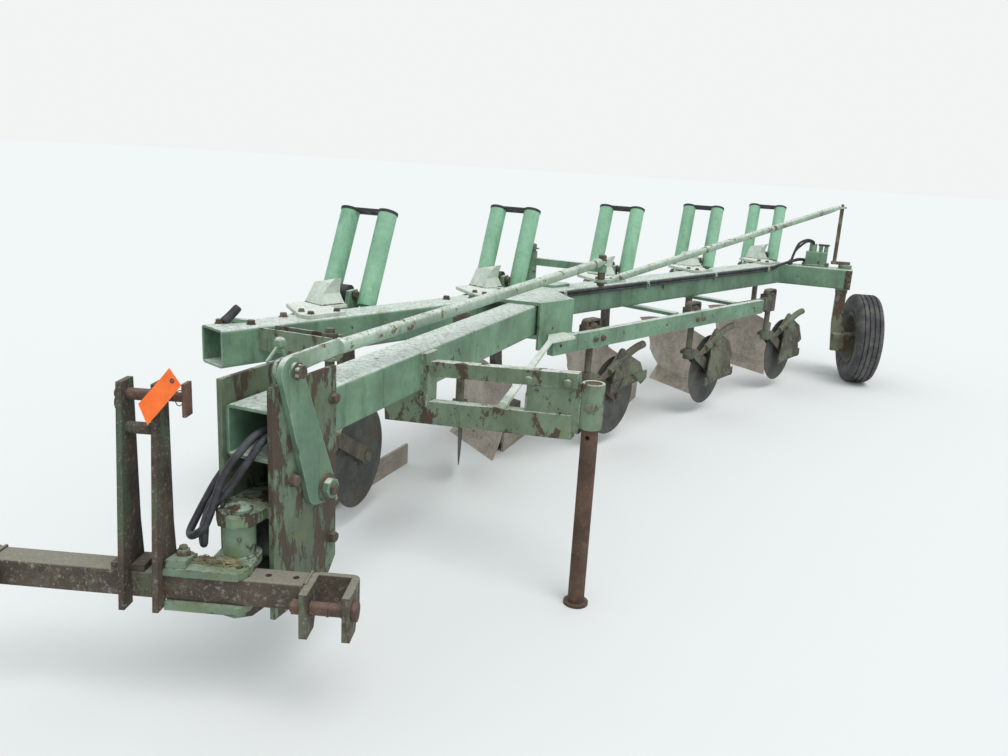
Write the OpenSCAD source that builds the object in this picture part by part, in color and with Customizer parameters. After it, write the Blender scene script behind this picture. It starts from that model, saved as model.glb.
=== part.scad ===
// Semi-mounted mouldboard plough with five spring-reset bottoms.
// X runs to the plough's left, Y to the rear and Z up. The origin lies on the ground in the
// middle of the plough's length and width. The hitch stands turned as it was parked.

/* [Main beam] */
// Width and height of the square beams
beam_size = 150; // [130:1:170]
// Wall of the square beams
beam_wall = 9; // [6:1:12]
// Height of the beams' underside
beam_bottom = 716; // [690:1:740]
// Angle of the main beam from the way of travel
beam_angle = 20.6; // [18:0.1:23]
// Left front corner of the main beam, across
beam_front_x = -701; // [-730:1:-680]
// Left front corner of the main beam, along
beam_front_y = 781; // [760:1:820]

/* [Bottoms] */
// Number of bottoms
bottoms = 5; // [3:1:5]
// Spacing of the bottoms along the main beam
bottom_step = 1040; // [980:1:1060]
// Width of cut of one bottom
cut = 406; // [356:1:420]
// Height of a mouldboard at its wing
wing_height = 430; // [380:1:460]
// Length of a mouldboard along the travel
board_length = 760; // [640:1:800]
// Thickness of a mouldboard
board_thick = 9; // [7:1:14]
// Length of a landside
landside_length = 560; // [420:1:620]
// Height of a landside
landside_height = 105; // [80:1:125]

/* [Reset tubes] */
// Distance between the two spring tubes of a bottom
tube_gap = 203; // [190:1:215]
// Outer diameter of a spring tube
tube_dia = 90; // [76:1:96]
// Height of the tube tops
tube_top = 1264; // [1200:1:1320]
// Lean of the tubes towards the rear
tube_lean = 24.3; // [20:0.1:28]

/* [Landing beam] */
// Front end of the landing beam
landing_front = 48; // [44:1:80]
// Rear end of the landing beam
landing_rear = 2260; // [2200:1:2300]
// Front edge of the head plates
head_front = 31; // [28:1:40]
// Rear edge of the head plates
head_rear = 340; // [320:1:400]
// Thickness of the head plates
head_thick = 15; // [12:1:18]
// Lower end of the head plates
head_low = 256; // [240:1:280]
// Upper end of the head plates
head_high = 938; // [920:1:960]

/* [Hitch] */
// Turn of the hitch as parked
hitch_turn = 18; // [0:1:18]
// Distance between the two draft clevises
hitch_span = 1004; // [980:1:1040]
// Place of the mast beside the vertical pivot
mast_x = -218; // [-260:1:-210]
// Height of the draft pins
draft_pin_z = 385; // [375:1:395]
// Height of the top link pin above the draft pins
mast_height = 534; // [520:1:570]
// Diameter of the draft pins
draft_pin_dia = 36.6; // [28:0.1:37]
// Diameter of the top link pin
top_pin_dia = 31.7; // [25:0.1:32]
// Gap of a draft clevis
clevis_gap = 92; // [86:1:96]
// Gap of the mast for the top link
mast_gap = 76; // [66:1:80]
// Height and depth of the crossbar
crossbar_size = 78; // [72:1:80]

/* [Coulters] */
// Diameter of a coulter disc
disc_dia = 450; // [400:1:460]
// Height of a disc's centre
disc_z = 290; // [270:1:310]
// Trail of the disc behind its shank
disc_trail = 265; // [250:1:280]
// Height of the coulter bar
bar_high = 90; // [80:1:100]
// Thickness of the coulter bar
bar_thick = 38; // [30:1:45]

/* [Tail wheel] */
// Outer diameter of the tyre
tyre_dia = 678; // [640:1:700]
// Width of the tyre
tyre_width = 195; // [170:1:210]
// Turn of the tail wheel as parked
wheel_turn = 14.5; // [0:0.5:15]
// Place of the tail post, across
post_x = 1432; // [1420:1:1460]
// Place of the tail post, along
post_y = 5305; // [5300:1:5310]

/* [Stand] */
// Place of the stand leg, across
leg_x = 706; // [690:1:760]
// Place of the stand leg, along
leg_y = 975; // [960:1:1000]
// Rise of the stand arms towards the leg
arm_rise = 3.8; // [0:0.1:4]

/* [Hidden] */
$fn = 48;
green = "#5f9a72";
pale = "#b8cfb0";
rust = "#6b4636";
steel = "#6f6862";
black = "#2b2d30";
eps = 0.01;

// Middle of the plough, measured from the ground under the hitch's vertical pivot. The sub-parts
// are drawn from that pivot and set back by this much.
middle_x = 349.8;
middle_y = 2716.935;

module placed() {
    translate([-middle_x, -middle_y, 0])
        children();
}

// Places along the main beam: out is to the left of its left face, along is from its front
along = [sin(beam_angle), cos(beam_angle)];
across = [cos(beam_angle), -sin(beam_angle)];
beam_top = beam_bottom + beam_size;
half_beam = beam_size / 2;
function beam_x(out, run) = beam_front_x + across[0] * out + along[0] * run;
function beam_y(out, run) = beam_front_y + across[1] * out + along[1] * run;

// Bottoms
trunnion_z = 800;
trunnion_dia = 40;
eye_wide = 50;
eye_dia = 84;
fork_gap = 60;
fork_plate = 20;
roller_z = 905;
landside_thick = 14;
tube_first_y = 1830;
tube_first_x = -694;
tube_end_z = 850;
landside_off = 185;
point_off = -430;
function bottom_x(i) = tube_first_x + along[0] * bottom_step * i;
function bottom_y(i) = tube_first_y + along[1] * bottom_step * i;
function tube_foot_y(i) = bottom_y(i) - (tube_top - beam_top) * tan(tube_lean);
function trunnion_y(i) = bottom_y(i) - (tube_top - trunnion_z) * tan(tube_lean);

// Draws its children in the frame of the main beam: X out of its left face, Y along it
module on_beam() {
    translate([beam_front_x, beam_front_y, beam_bottom])
        rotate([0, 0, -beam_angle])
            children();
}

// Draws its children in the frame of bottom i: X from the landside, Y back from the share point
module at_bottom(i) {
    translate([bottom_x(i) + landside_off, tube_foot_y(i) + point_off, 0])
        children();
}

// A hollow square beam along Y with rounded edges
module square_tube(length, width, height, wall, round) {
    rotate([90, 0, 0])
        mirror([0, 0, 1])
            linear_extrude(length)
                difference() {
                    rounded_rect(width, height, round);
                    rounded_rect(width - 2 * wall, height - 2 * wall, max(round - wall, 1));
                }
}

// A rectangle about the origin with round corners
module rounded_rect(w, h, r) {
    union() {
        square([w - 2 * r, h], center = true);
        square([w, h - 2 * r], center = true);
        for (sx = [-1, 1], sy = [-1, 1])
            translate([sx * (w / 2 - r), sy * (h / 2 - r)])
                circle(r);
    }
}

// A cylinder along X from x0 to x1
module rod_x(x0, x1, d) {
    translate([x0, 0, 0])
        rotate([0, 90, 0])
            cylinder(d = d, h = x1 - x0);
}

// A cylinder along Y from y0 to y1
module rod_y(y0, y1, d) {
    translate([0, y0, 0])
        rotate([-90, 0, 0])
            cylinder(d = d, h = y1 - y0);
}

// A round bar between two points
module bar_between(a, b, d) {
    v = b - a;
    translate(a)
        rotate([0, acos(v[2] / norm(v)), atan2(v[1], v[0])])
            cylinder(d = d, h = norm(v));
}

// A hexagon bolt head standing on a face at the origin
module bolt_head(size, high) {
    cylinder(d = size * 1.15, h = high, $fn = 6);
}

// Main beam
tail_front = post_y - half_beam;
beam_length = (tail_front - beam_front_y + beam_size * along[0]) / along[1];
bolt_places = [[-132, 66], [-52, 157], [-120, 349], [-100, 1262], [-60, 1400]];
handle_thick = 14;

module main_beam() placed() {
    color(green)
        difference() {
            on_beam()
                translate([-half_beam, 0, half_beam])
                    square_tube(beam_length, beam_size, beam_size, beam_wall, 16);
            translate([beam_x(-beam_size, beam_length) - 400, tail_front - 0.3, beam_bottom - 1])
                cube([1200, 400, beam_size + 2]);
        }
    color(rust)
        on_beam() {
            for (p = bolt_places)
                translate([p[0], p[1], beam_size])
                    bolt_head(24, 14);
            // Flat handle bolted on the front end
            translate([-beam_size + 26, 96, beam_size + handle_thick / 2])
                rotate([-8, 0, -18]) {
                    translate([-15, 0, 0])
                        cube([30, 84, handle_thick]);
                    translate([0, 84, 0])
                        cylinder(d = 30, h = handle_thick);
                }
        }
}

// Landing beam and its head
plate_gap = 0.2;

module landing_beam() placed() {
    color(green)
        translate([0, landing_front, beam_bottom + half_beam])
            square_tube(landing_rear - landing_front, beam_size, beam_size, beam_wall, 14);
}

head_bolts = [[57, -95], [28, -540], [43, -280], [250, -430]];
lever_pivot_y = 262;
lever_pivot_z = 583;
lever_pin = 34;
lever_thick = 18;
top_bar = 30;

module head_plate_outline() {
    difference() {
        polygon([[head_front, head_low], [head_rear - 60, head_low], [head_rear, head_low + 70],
            [head_rear, head_high], [head_front, head_high]]);
        translate([lever_pivot_y, lever_pivot_z])
            circle(d = lever_pin + 1);
    }
}

module head_plates() placed() {
    color(green) {
        for (side = [-1, 1])
            translate([side * (half_beam + plate_gap) + (side < 0 ? -head_thick : 0), 0, 0])
                rotate([90, 0, 90])
                    linear_extrude(head_thick)
                        head_plate_outline();
        // Bar along the inside of the right plate's top
        translate([half_beam + plate_gap - top_bar, head_front + 60, head_high - top_bar - 14])
            cube([top_bar + 1, head_rear - head_front - 60, top_bar]);
        // Web behind the pivot that ties the plates together
        translate([-half_beam - plate_gap - 1, head_rear - 50, head_low + 80])
            cube([beam_size + 2 * plate_gap + 2, 14, beam_bottom - head_low - 81]);
    }
    color(rust)
        for (p = [[head_rear - 20, 843], [head_rear - 25, 398], [120, 650]])
            translate([half_beam + plate_gap + head_thick, p[0], p[1]])
                rotate([0, 90, 0])
                    bolt_head(26, 16);
}

// Vertical pivot
pivot_dia = 62;
pivot_bore = 63;
ring_dia = 126;
upper_ring_z = 556;
upper_ring_high = 30;
lower_ring_z = 290;
lower_ring_high = 40;
bearing_rear = 228;

module bearing_block(z, high) {
    translate([0, 0, z])
        difference() {
            union() {
                linear_extrude(high)
                    union() {
                        rotate(22.5)
                            circle(d = ring_dia, $fn = 8);
                        translate([-ring_dia / 2 + 5, 0])
                            square([ring_dia - 10, 60]);
                        translate([-half_beam, 45])
                            square([beam_size, bearing_rear - 45]);
                    }
            }
            translate([0, 0, -1])
                cylinder(d = pivot_bore, h = high + 2);
        }
}

module pivot_bearings() placed() {
    color(green) {
        bearing_block(upper_ring_z, upper_ring_high);
        bearing_block(lower_ring_z, lower_ring_high);
    }
}

// Bracket between the landing beam, the main beam and the coulter bar
bar_out = 283;
bar_low = -100;
bar_first = 1600;
bar_length = 2255;
splice_from = 1510;
splice_to = 1790;
splice_on_beam = 1690;

module splice_bracket() placed() {
    color(green)
        on_beam() {
            // Top and bottom plates
            for (z = [beam_size + 0.3, -16.3])
                translate([0, 0, z])
                    linear_extrude(16)
                        difference() {
                            polygon([[-beam_size, splice_on_beam], [4, splice_on_beam], [4, splice_from - 120],
                                [bar_out - 17, splice_from + 20], [bar_out - 17, splice_to],
                                [0, splice_to + 160], [-beam_size, splice_to + 80]]);
                            for (p = [[-110, splice_on_beam + 50], [-110, splice_to + 20]])
                                translate(p)
                                    circle(d = 20);
                        }
            // Outer face that carries the coulter bar
            translate([bar_out - 16.5, splice_from + 20, -70])
                cube([16, splice_to - splice_from - 20, beam_size + 86]);
        }
}

module coulter_bar() placed() {
    color(green)
        on_beam() {
            difference() {
                translate([bar_out, bar_first, bar_low])
                    cube([bar_thick, bar_length, bar_high]);
                for (run = [bar_first + 60, bar_first + 1040, bar_first + 2120])
                    translate([bar_out - 1, run, bar_low + bar_high / 2])
                        rod_x(0, bar_thick + 2, 22);
            }
        }
}

// Brackets under the main beam that hold the coulter bar
bracket_runs = [2760, 3480];
bracket_thick = 20;
bracket_wide = 60;

module bar_brackets() placed() {
    color(green)
        on_beam()
            for (run = bracket_runs)
                translate([0, run, 0])
                    rotate([-90, 0, 0])
                        mirror([0, 1, 0])
                            linear_extrude(bracket_wide)
                                polygon([[12 - beam_size, -bracket_thick], [bar_out - 40, -bracket_thick],
                                    [bar_out - 0.3 - bracket_thick, -45], [bar_out - 0.3 - bracket_thick, bar_low + 6],
                                    [bar_out - 0.3, bar_low + 6], [bar_out - 0.3, -0.3], [12 - beam_size, -0.3]]);
}

// Arm on the main beam that carries the first coulter
shank = 38;
arm0_run = 150;
coulter0 = [-345, 968];
coulter1 = [-112, 1680];

arm0_half = 40;

module front_coulter_arm() placed() {
    x0 = beam_x(0, arm0_run) - 60;
    flange = 9;
    color(pale)
        difference() {
            union() {
                translate([x0, coulter0[1] - arm0_half, beam_bottom + 56])
                    difference() {
                        cube([coulter0[0] + 34 - x0, 2 * arm0_half, beam_size - 60]);
                        translate([-1, flange, flange])
                            cube([coulter0[0] + 36 - x0, 2 * (arm0_half - flange), beam_size]);
                    }
                translate([coulter0[0], coulter0[1], beam_bottom + 52])
                    cylinder(d = 2 * arm0_half - 4, h = beam_size - 66);
            }
            translate([coulter0[0], coulter0[1], beam_bottom])
                cylinder(d = shank + 0.6, h = 200);
            on_beam()
                translate([-beam_size, -100, -10])
                    cube([beam_size + 0.3, 800, beam_size + 20]);
        }
}

// Coulters: shank place across and along, and how far the fork has swung as parked
function bar_shank(i) = [beam_x(bar_out - 20, bottom_step * i - 101), beam_y(bar_out - 20, bottom_step * i - 101)];
coulter_place = [coulter0, coulter1, bar_shank(2), bar_shank(3), bar_shank(4)];
coulter_swing = [-5, -22, 17, 18, 20];
bar_top = beam_bottom + bar_low + bar_high + 14;
fork_half = 26;
disc_thick = 6;
hub_low = 400;
jointer_thick = 9;
jointer_outline = [[46, 420], [150, 470], [261, 563], [490, 454], [560, 340], [520, 320], [400, 420], [260, 440], [100, 412]];

clamp_wide = 64;
clamp_plate = 14;
strap_wide = 126;
strap_high = 144;
strap_deep = 40;
strap_thick = 13;
block = shank + 36;

// Raised strap over the top of a shank, with the block below it that grips the shank
module shank_block() {
    round = 26;
    translate([bar_out - 0.3 - strap_deep, 0, 0])
        rotate([90, 0, 90])
            linear_extrude(strap_deep)
                difference() {
                    union() {
                        translate([-strap_wide / 2, -clamp_plate])
                            square([strap_wide, strap_high - round + clamp_plate]);
                        translate([round - strap_wide / 2, 0])
                            square([strap_wide - 2 * round, strap_high]);
                        for (side = [-1, 1])
                            translate([side * (strap_wide / 2 - round), strap_high - round])
                                circle(r = round);
                    }
                    translate([strap_thick - strap_wide / 2, bar_high + clamp_plate])
                        square([strap_wide - 2 * strap_thick, strap_high - bar_high - clamp_plate - strap_thick]);
                }
    translate([bar_out - block - 0.3, -clamp_wide / 2, -clamp_plate])
        cube([block - strap_deep + 1, clamp_wide, bar_high + 2 * clamp_plate]);
}

// Blocks that grip the coulter shanks: behind the bar, beside the landing beam, and past the bar's end
module coulter_clamps() placed() {
    color(pale) {
        on_beam()
            difference() {
                union() {
                    for (i = [2 : 4])
                        translate([0, bottom_step * i - 101, bar_low])
                            shank_block();
                    translate([bar_out - 20.3, 3560, bar_low])
                        cube([20, bottom_step * 4 - 101 - 3560, bar_high]);
                }
                for (i = [2 : 4])
                    translate([bar_out - 20, bottom_step * i - 101, bar_low - 40])
                        cylinder(d = shank + 0.6, h = bar_high + clamp_plate + 60);
            }
        translate([coulter1[0] - shank / 2 - 16, coulter1[1] - clamp_wide / 2, beam_bottom + 20])
            difference() {
                cube([-half_beam - 0.3 - coulter1[0] + shank / 2 + 16, clamp_wide, beam_size - 30]);
                translate([shank / 2 + 16, clamp_wide / 2, -10])
                    cylinder(d = shank + 0.6, h = beam_size);
            }
    }
    color(rust)
        for (i = [2, 3], y = [-34, 34])
            on_beam()
                translate([bar_out + bar_thick + 0.3, bottom_step * i - 101 + y, bar_low + bar_high / 2])
                    rod_x(0, 14, 28, $fn = 6);
}

// Upright shanks with a collar on the clamp
module coulter_shanks() placed() {
    collar_z = [beam_bottom + beam_size - 14, beam_bottom + beam_size - 10, bar_top, bar_top, bar_top];
    color(rust)
        for (i = [0 : 4])
            translate([coulter_place[i][0], coulter_place[i][1], 0]) {
                translate([0, 0, hub_low + 62])
                    cylinder(d = shank, h = collar_z[i] + (i < 2 ? 40 : 22) - hub_low - 62);
                translate([0, 0, collar_z[i] + 0.3])
                    cylinder(d = shank + 24, h = i < 2 ? 22 : 14);
            }
}

// Swivelling hub and fork of a coulter, in the frame of its shank
module fork_shape() {
    difference() {
        union() {
            translate([0, 0, hub_low])
                cylinder(d = 66, h = 61.7);
            translate([-fork_half - 8, 10, hub_low + 12])
                cube([2 * fork_half + 16, 36, 48]);
            for (side = [-1, 1])
                translate([side * (fork_half + 4) - 4, 0, 0])
                    rotate([90, 0, 90])
                        linear_extrude(8)
                            polygon([[46, hub_low + 60], [10, hub_low + 60], [10, hub_low + 12], [disc_trail - 32, disc_z - 12],
                                [disc_trail - 20, disc_z - 30], [disc_trail + 24, disc_z - 24],
                                [disc_trail + 34, disc_z + 12], [disc_trail + 10, disc_z + 40]]);
        }
        translate([0, disc_trail, disc_z])
            rod_x(-fork_half - 20, fork_half + 20, 24);
    }
}

module coulter_fork(i) placed() {
    color(steel)
        translate([coulter_place[i][0], coulter_place[i][1], 0])
            rotate([0, 0, -coulter_swing[i]]) {
                fork_shape();
                if (i > 1)
                    translate([fork_half + 7.9, 0, 0])
                        rotate([90, 0, 90])
                            linear_extrude(jointer_thick)
                                polygon(jointer_outline);
            }
}

module coulter_disc(i) placed() {
    color("#4a4038")
        translate([coulter_place[i][0], coulter_place[i][1], 0])
            rotate([0, 0, -coulter_swing[i]])
                translate([0, disc_trail, disc_z])
                    rotate([0, 90, 0])
                        union() {
                            rotate_extrude()
                                polygon([[0, -disc_thick / 2], [disc_dia / 2 - 26, -disc_thick / 2],
                                    [disc_dia / 2, -0.6], [disc_dia / 2, 0.6],
                                    [disc_dia / 2 - 26, disc_thick / 2], [0, disc_thick / 2]]);
                            cylinder(d = 84, h = 2 * fork_half - 10, center = true);
                            cylinder(d = 23.4, h = 2 * fork_half + 44, center = true);
                        }
}

// Stand on the left of the landing beam
arm_root = half_beam + 0.3;
arm_end = leg_x - 48;
upper_arm_z = 769;
upper_arm_high = 54;
lower_arm_z = 588;
lower_arm_high = 86;
arm_thick = 45;
leg_dia = 60;
socket_dia = 80;
socket_low = 672;
socket_high = 832;

module stand_arms() placed() {
    color(green)
        difference() {
            union() {
                // Bracket on the side of the landing beam
                translate([arm_root, leg_y - 52, beam_bottom - 56])
                    cube([22, 84, beam_size + 50]);
                translate([-half_beam, leg_y - 45, beam_bottom - 56])
                    cube([beam_size + 1, 70, 55.7]);
                translate([arm_root, leg_y, 0]) {
                    translate([0, 0, upper_arm_z + 25])
                        rotate([0, -arm_rise, 0])
                            translate([6, -arm_thick / 2, -25])
                                cube([arm_end - arm_root - 6, arm_thick, upper_arm_high]);
                    translate([0, 0, lower_arm_z])
                        rotate([0, -arm_rise, 0])
                            translate([-160, -arm_thick / 2 - 8, 0])
                                cube([arm_end - arm_root + 150, arm_thick, lower_arm_high]);
                }
                // Box between the arms that holds the socket
                translate([leg_x - 235, leg_y - 20, lower_arm_z + 60])
                    cube([200, 40, upper_arm_z - lower_arm_z - 20]);
                translate([leg_x, leg_y, socket_low])
                    cylinder(d = socket_dia, h = socket_high - socket_low);
            }
            translate([leg_x, leg_y, socket_low - 1])
                cylinder(d = leg_dia + 1, h = socket_high - socket_low + 2);
            translate([leg_x, leg_y, socket_low + 80])
                rod_y(-60, 60, 17);
        }
}

// Flat strap from a pad on the lower arm to the front end of the coulter bar
strap = 12;
brace_at = 390;
brace_half = 15;
function bar_spot(out, run) = [beam_x(bar_out + out, bar_first + run), beam_y(bar_out + out, bar_first + run)];

module stand_brace() placed() {
    level = beam_bottom + bar_low + bar_high + 0.3;
    color(pale) {
        translate([0, 0, level])
            linear_extrude(strap)
                polygon([[brace_at - brace_half, leg_y - 25], [brace_at + brace_half, leg_y - 25], bar_spot(110, -100),
                    bar_spot(105, 85), bar_spot(38, 120), bar_spot(0, 120), bar_spot(0, 2), bar_spot(80, -100)]);
        translate([arm_root, leg_y, lower_arm_z])
            rotate([0, -arm_rise, 0])
                translate([brace_at - brace_half - arm_root, -26, lower_arm_high + 0.3])
                    cube([2 * brace_half, 36, 14]);
    }
}

module stand_leg() placed() {
    color(rust)
        difference() {
            union() {
                translate([leg_x, leg_y, 10])
                    cylinder(d = leg_dia, h = socket_high - 14);
                translate([leg_x, leg_y, 0])
                    cylinder(d = 90, h = 10);
            }
            for (z = [socket_low - 30, socket_low + 80])
                translate([leg_x, leg_y, z])
                    rod_y(-60, 60, 17);
        }
}

// Tail
tail_left = 850;
tail_right = post_x + 60;
tail_depth = 150;
post_dia = 58;

module tail_box() placed() {
    color(green)
        difference() {
            union() {
                translate([tail_left, tail_front + half_beam, beam_bottom + half_beam])
                    rotate([0, 0, -90])
                        square_tube(tail_right - tail_left, beam_size, beam_size, beam_wall, 14);
                translate([post_x, post_y, beam_bottom - 10])
                    cylinder(d = post_dia + 40, h = beam_size + 40);
            }
            translate([post_x, post_y, beam_bottom - 20])
                cylinder(d = post_dia + 1, h = beam_size + 60);
        }
}

// Valve block on the tail box, with the hoses that come along the main beam
valve_left = 1124;
valve_right = 1309;

module tail_valve() placed() {
    color(green)
        translate([valve_left, tail_front + 24, beam_top + 0.3]) {
            cube([valve_right - valve_left, 100, 14]);
            translate([14, 14, 0])
                cube([valve_right - valve_left - 28, 72, 110]);
            translate([60, 50, 100])
                cylinder(d = 56, h = 70);
            for (x = [118, 156])
                translate([x, 50, 100])
                    cylinder(d = 30, h = 58);
        }
}

// A round hose through a row of points, smoothed between them
tube_sides = 10;
tube_steps = 4;
function spline(p, i, t) =
    let (n = len(p) - 1, a = p[max(i - 1, 0)], b = p[i], c = p[min(i + 1, n)], d = p[min(i + 2, n)])
        0.5 * (2 * b + t * (c - a) + t * t * (2 * a - 5 * b + 4 * c - d) + t * t * t * (3 * b - a - 3 * c + d));
function unit(v) = v / norm(v);

module tube(p, d) {
    line = concat([for (i = [0 : len(p) - 2], k = [0 : tube_steps - 1]) spline(p, i, k / tube_steps)], [p[len(p) - 1]]);
    last = len(line) - 1;
    rings = [for (j = [0 : last])
        let (dir = unit(line[min(j + 1, last)] - line[max(j - 1, 0)]), side = unit(cross(dir, [0.3, -0.1, 1])), up = cross(side, dir))
            for (k = [0 : tube_sides - 1])
                line[j] + d / 2 * (cos(360 * k / tube_sides) * side + sin(360 * k / tube_sides) * up)];
    polyhedron(
        points = rings,
        faces = concat(
            [[for (k = [0 : tube_sides - 1]) tube_sides - 1 - k]],
            [[for (k = [0 : tube_sides - 1]) last * tube_sides + k]],
            [for (j = [0 : last - 1], k = [0 : tube_sides - 1])
                [j * tube_sides + k, j * tube_sides + (k + 1) % tube_sides, (j + 1) * tube_sides + k]],
            [for (j = [0 : last - 1], k = [0 : tube_sides - 1])
                [j * tube_sides + (k + 1) % tube_sides, (j + 1) * tube_sides + (k + 1) % tube_sides, (j + 1) * tube_sides + k]]
        )
    );
}

beam_hose_dia = 16;
beam_hose_runs = [2010, 2700, 3400, 4100, 4560];

module beam_hoses() placed() {
    color(black)
        for (drop = [14, 33])
            tube(concat(
                [for (run = beam_hose_runs) [beam_x(9, run), beam_y(9, run), beam_top - drop]],
                [[beam_x(20, 4680), beam_y(20, 4680), beam_top + 6 - drop / 3],
                [valve_left - 60, tail_front + 6 + drop, beam_top + 46 - drop / 2],
                [valve_left - 25, tail_front + 54 + drop, beam_top + 52 - drop / 2],
                [valve_left + 13, tail_front + 56 + drop, beam_top + 52 - drop / 2]]), beam_hose_dia);
    color(green)
        on_beam()
            for (run = [2040, 2860, 3700, 4500])
                translate([0.3, run, beam_size - 50])
                    cube([19, 26, 44]);
}

// Steering linkage
boss_y = 106;
boss_z = 973;
lever_x = half_beam + head_thick + 1;
idler_joint = [205, 2790, 1030];
idler_arm_length = 420;
idler_turn = -2.9;
idler_base = idler_joint - idler_arm_length * [cos(idler_turn), sin(idler_turn), 0];
idler_pin_dia = 22;
front_joint_play = 3;
rear_joint_play = 8;
rear_pin_dia = 20;
crank = 84;
crank_z = 900;
rear_joint = [post_x - crank * cos(wheel_turn), post_y - crank * sin(wheel_turn), 1322];

module steering_lever() placed() {
    knob = [64, boss_y, boss_z + 71];
    color(green)
        difference() {
            union() {
                translate([lever_x, 0, 0])
                    rotate([90, 0, 90])
                        linear_extrude(lever_thick)
                            hull() {
                                translate([lever_pivot_y, lever_pivot_z])
                                    circle(d = 90);
                                translate([lever_pivot_y - 44, lever_pivot_z + 8])
                                    circle(d = 90);
                                translate([boss_y - 9, boss_z - 4])
                                    circle(d = 90);
                            }
                translate([0, lever_pivot_y, lever_pivot_z]) {
                    rod_x(-half_beam - head_thick - 18, lever_x + 2, lever_pin);
                    rod_x(lever_x, lever_x + 42, 62, $fn = 8);
                }
                translate([0, boss_y, boss_z])
                    rod_x(lever_x - 14, lever_x + 30, 46);
                // Knob on a bent stem
                bar_between([lever_x - 1, boss_y, boss_z + 12], knob, 10);
                bar_between(knob, knob - [9, 46, 45], 10);
                translate(knob)
                    sphere(d = 34);
            }
            translate([0, boss_y, boss_z])
                rod_x(lever_x - 60, lever_x + 80, 20);
        }
}

module front_rod() placed() {
    front = [lever_x - 26, boss_y, boss_z];
    a = [lever_x - 20, 380, 983];
    b = idler_joint + [0, -60, 0];
    color(green) {
        difference() {
            union() {
                bar_between(a, b, 46);
                translate([lever_x - 32, 0, 0])
                    rotate([90, 0, 90])
                        linear_extrude(12)
                            hull() {
                                translate([boss_y, boss_z])
                                    circle(d = 56);
                                translate([400, 984])
                                    circle(d = 46);
                            }
                translate(idler_joint + [0, 0, -6])
                    linear_extrude(12)
                        hull() {
                            circle(d = 52);
                            translate([0, -90])
                                circle(d = 44);
                        }
            }
            translate([0, boss_y, boss_z])
                rod_x(lever_x - 60, lever_x + 80, 20);
            translate(idler_joint + [0, 0, -40])
                cylinder(d = idler_pin_dia + 2 * front_joint_play, h = 80);
        }
        translate([0, boss_y, boss_z]) {
            rod_x(lever_x - 40, lever_x + 42, 19.6);
            rod_x(lever_x + 30.5, lever_x + 44, 42, $fn = 6);
        }
    }
}

module idler_arm() placed() {
    color(green)
        translate(idler_base)
            rotate([0, 0, idler_turn])
                union() {
                    translate([0, 0, -70])
                        difference() {
                            cylinder(d = 60, h = 90);
                            translate([0, 0, -1])
                                cylinder(d = 31, h = 92);
                        }
                    translate([28, -16, -56])
                        cube([idler_arm_length - 40, 32, 40]);
                    translate([idler_arm_length, 0, -56])
                        cylinder(d = 52, h = 40);
                    translate([idler_arm_length, 0, -118])
                        cylinder(d = idler_pin_dia, h = 150);
                }
}

module idler_post() placed() {
    foot_z = beam_top + 0.3;
    foot_run = 2080;
    color(green) {
        translate([0, 0, foot_z])
            linear_extrude(14)
                hull() {
                    translate([idler_base[0], idler_base[1]])
                        circle(d = 90);
                    translate([beam_x(-110, foot_run), beam_y(-110, foot_run)])
                        circle(d = 70);
                    translate([beam_x(-110, foot_run + 110), beam_y(-110, foot_run + 110)])
                        circle(d = 70);
                }
        translate([idler_base[0], idler_base[1], foot_z]) {
            cylinder(d = 60, h = idler_base[2] - 70.3 - foot_z);
            cylinder(d = 30, h = idler_base[2] + 44 - foot_z);
        }
        translate([idler_base[0], idler_base[1], idler_base[2] + 20.5])
            cylinder(d = 46, h = 14);
    }
}

module rear_rod() placed() {
    a = idler_joint + [36, 76, -104];
    b = rear_joint + [-24, -55, 0];
    eye = rear_joint + [2.5, 0, -7];
    color(green)
        difference() {
            union() {
                bar_between(a, b, 30);
                translate(idler_joint + [0, 0, -111])
                    linear_extrude(14)
                        hull() {
                            circle(d = 50);
                            translate([34, 70])
                                circle(d = 40);
                        }
                translate(eye)
                    linear_extrude(14)
                        hull() {
                            circle(d = rear_pin_dia + 2 * rear_joint_play + 22);
                            translate([-30, -66])
                                circle(d = 40);
                        }
            }
            translate(idler_joint + [0, 0, -120])
                cylinder(d = idler_pin_dia + 1, h = 60);
            translate(eye - [0, 0, 30])
                cylinder(d = rear_pin_dia + 2 * rear_joint_play, h = 60);
        }
}

// Tail post, its crank and its axle, drawn for straight running about the post's axis
axle_z = tyre_dia / 2;
wheel_out = 187;
stub = 40;
leg_half = 37;
leg_foot = 98;
rim_seat = 200;
rim_half = 82;

module at_post() {
    translate([post_x, post_y, 0])
        rotate([0, 0, wheel_turn])
            children();
}

module tail_post() placed() {
    color(steel)
        at_post()
            union() {
                translate([0, 0, beam_bottom - 40])
                    cylinder(d = post_dia, h = crank_z - beam_bottom + 40);
                translate([0, 0, beam_bottom - 36])
                    cylinder(d = 88, h = 25.5);
                // Flat leg that widens towards the axle
                translate([0, 17, 0])
                    rotate([90, 0, 0])
                        linear_extrude(34)
                            polygon([[-leg_half, beam_bottom - 20], [leg_half, beam_bottom - 20], [leg_half, axle_z + 110],
                                [leg_foot, axle_z - 10], [leg_foot, axle_z - 112], [-16, axle_z - 112], [-leg_half, axle_z + 110]]);
                translate([0, 0, axle_z]) {
                    rod_x(-20, leg_foot + 26, 74);
                    rod_x(0, wheel_out + 40, stub);
                }
                translate([-crank - 20, -18, crank_z - 4])
                    cube([crank + 50, 36, 22]);
                translate([-crank, 0, crank_z])
                    cylinder(d = 28, h = rear_joint[2] - crank_z - 9);
                translate([-crank, 0, crank_z])
                    cylinder(d = rear_pin_dia, h = rear_joint[2] - crank_z + 24);
            }
}

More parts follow.
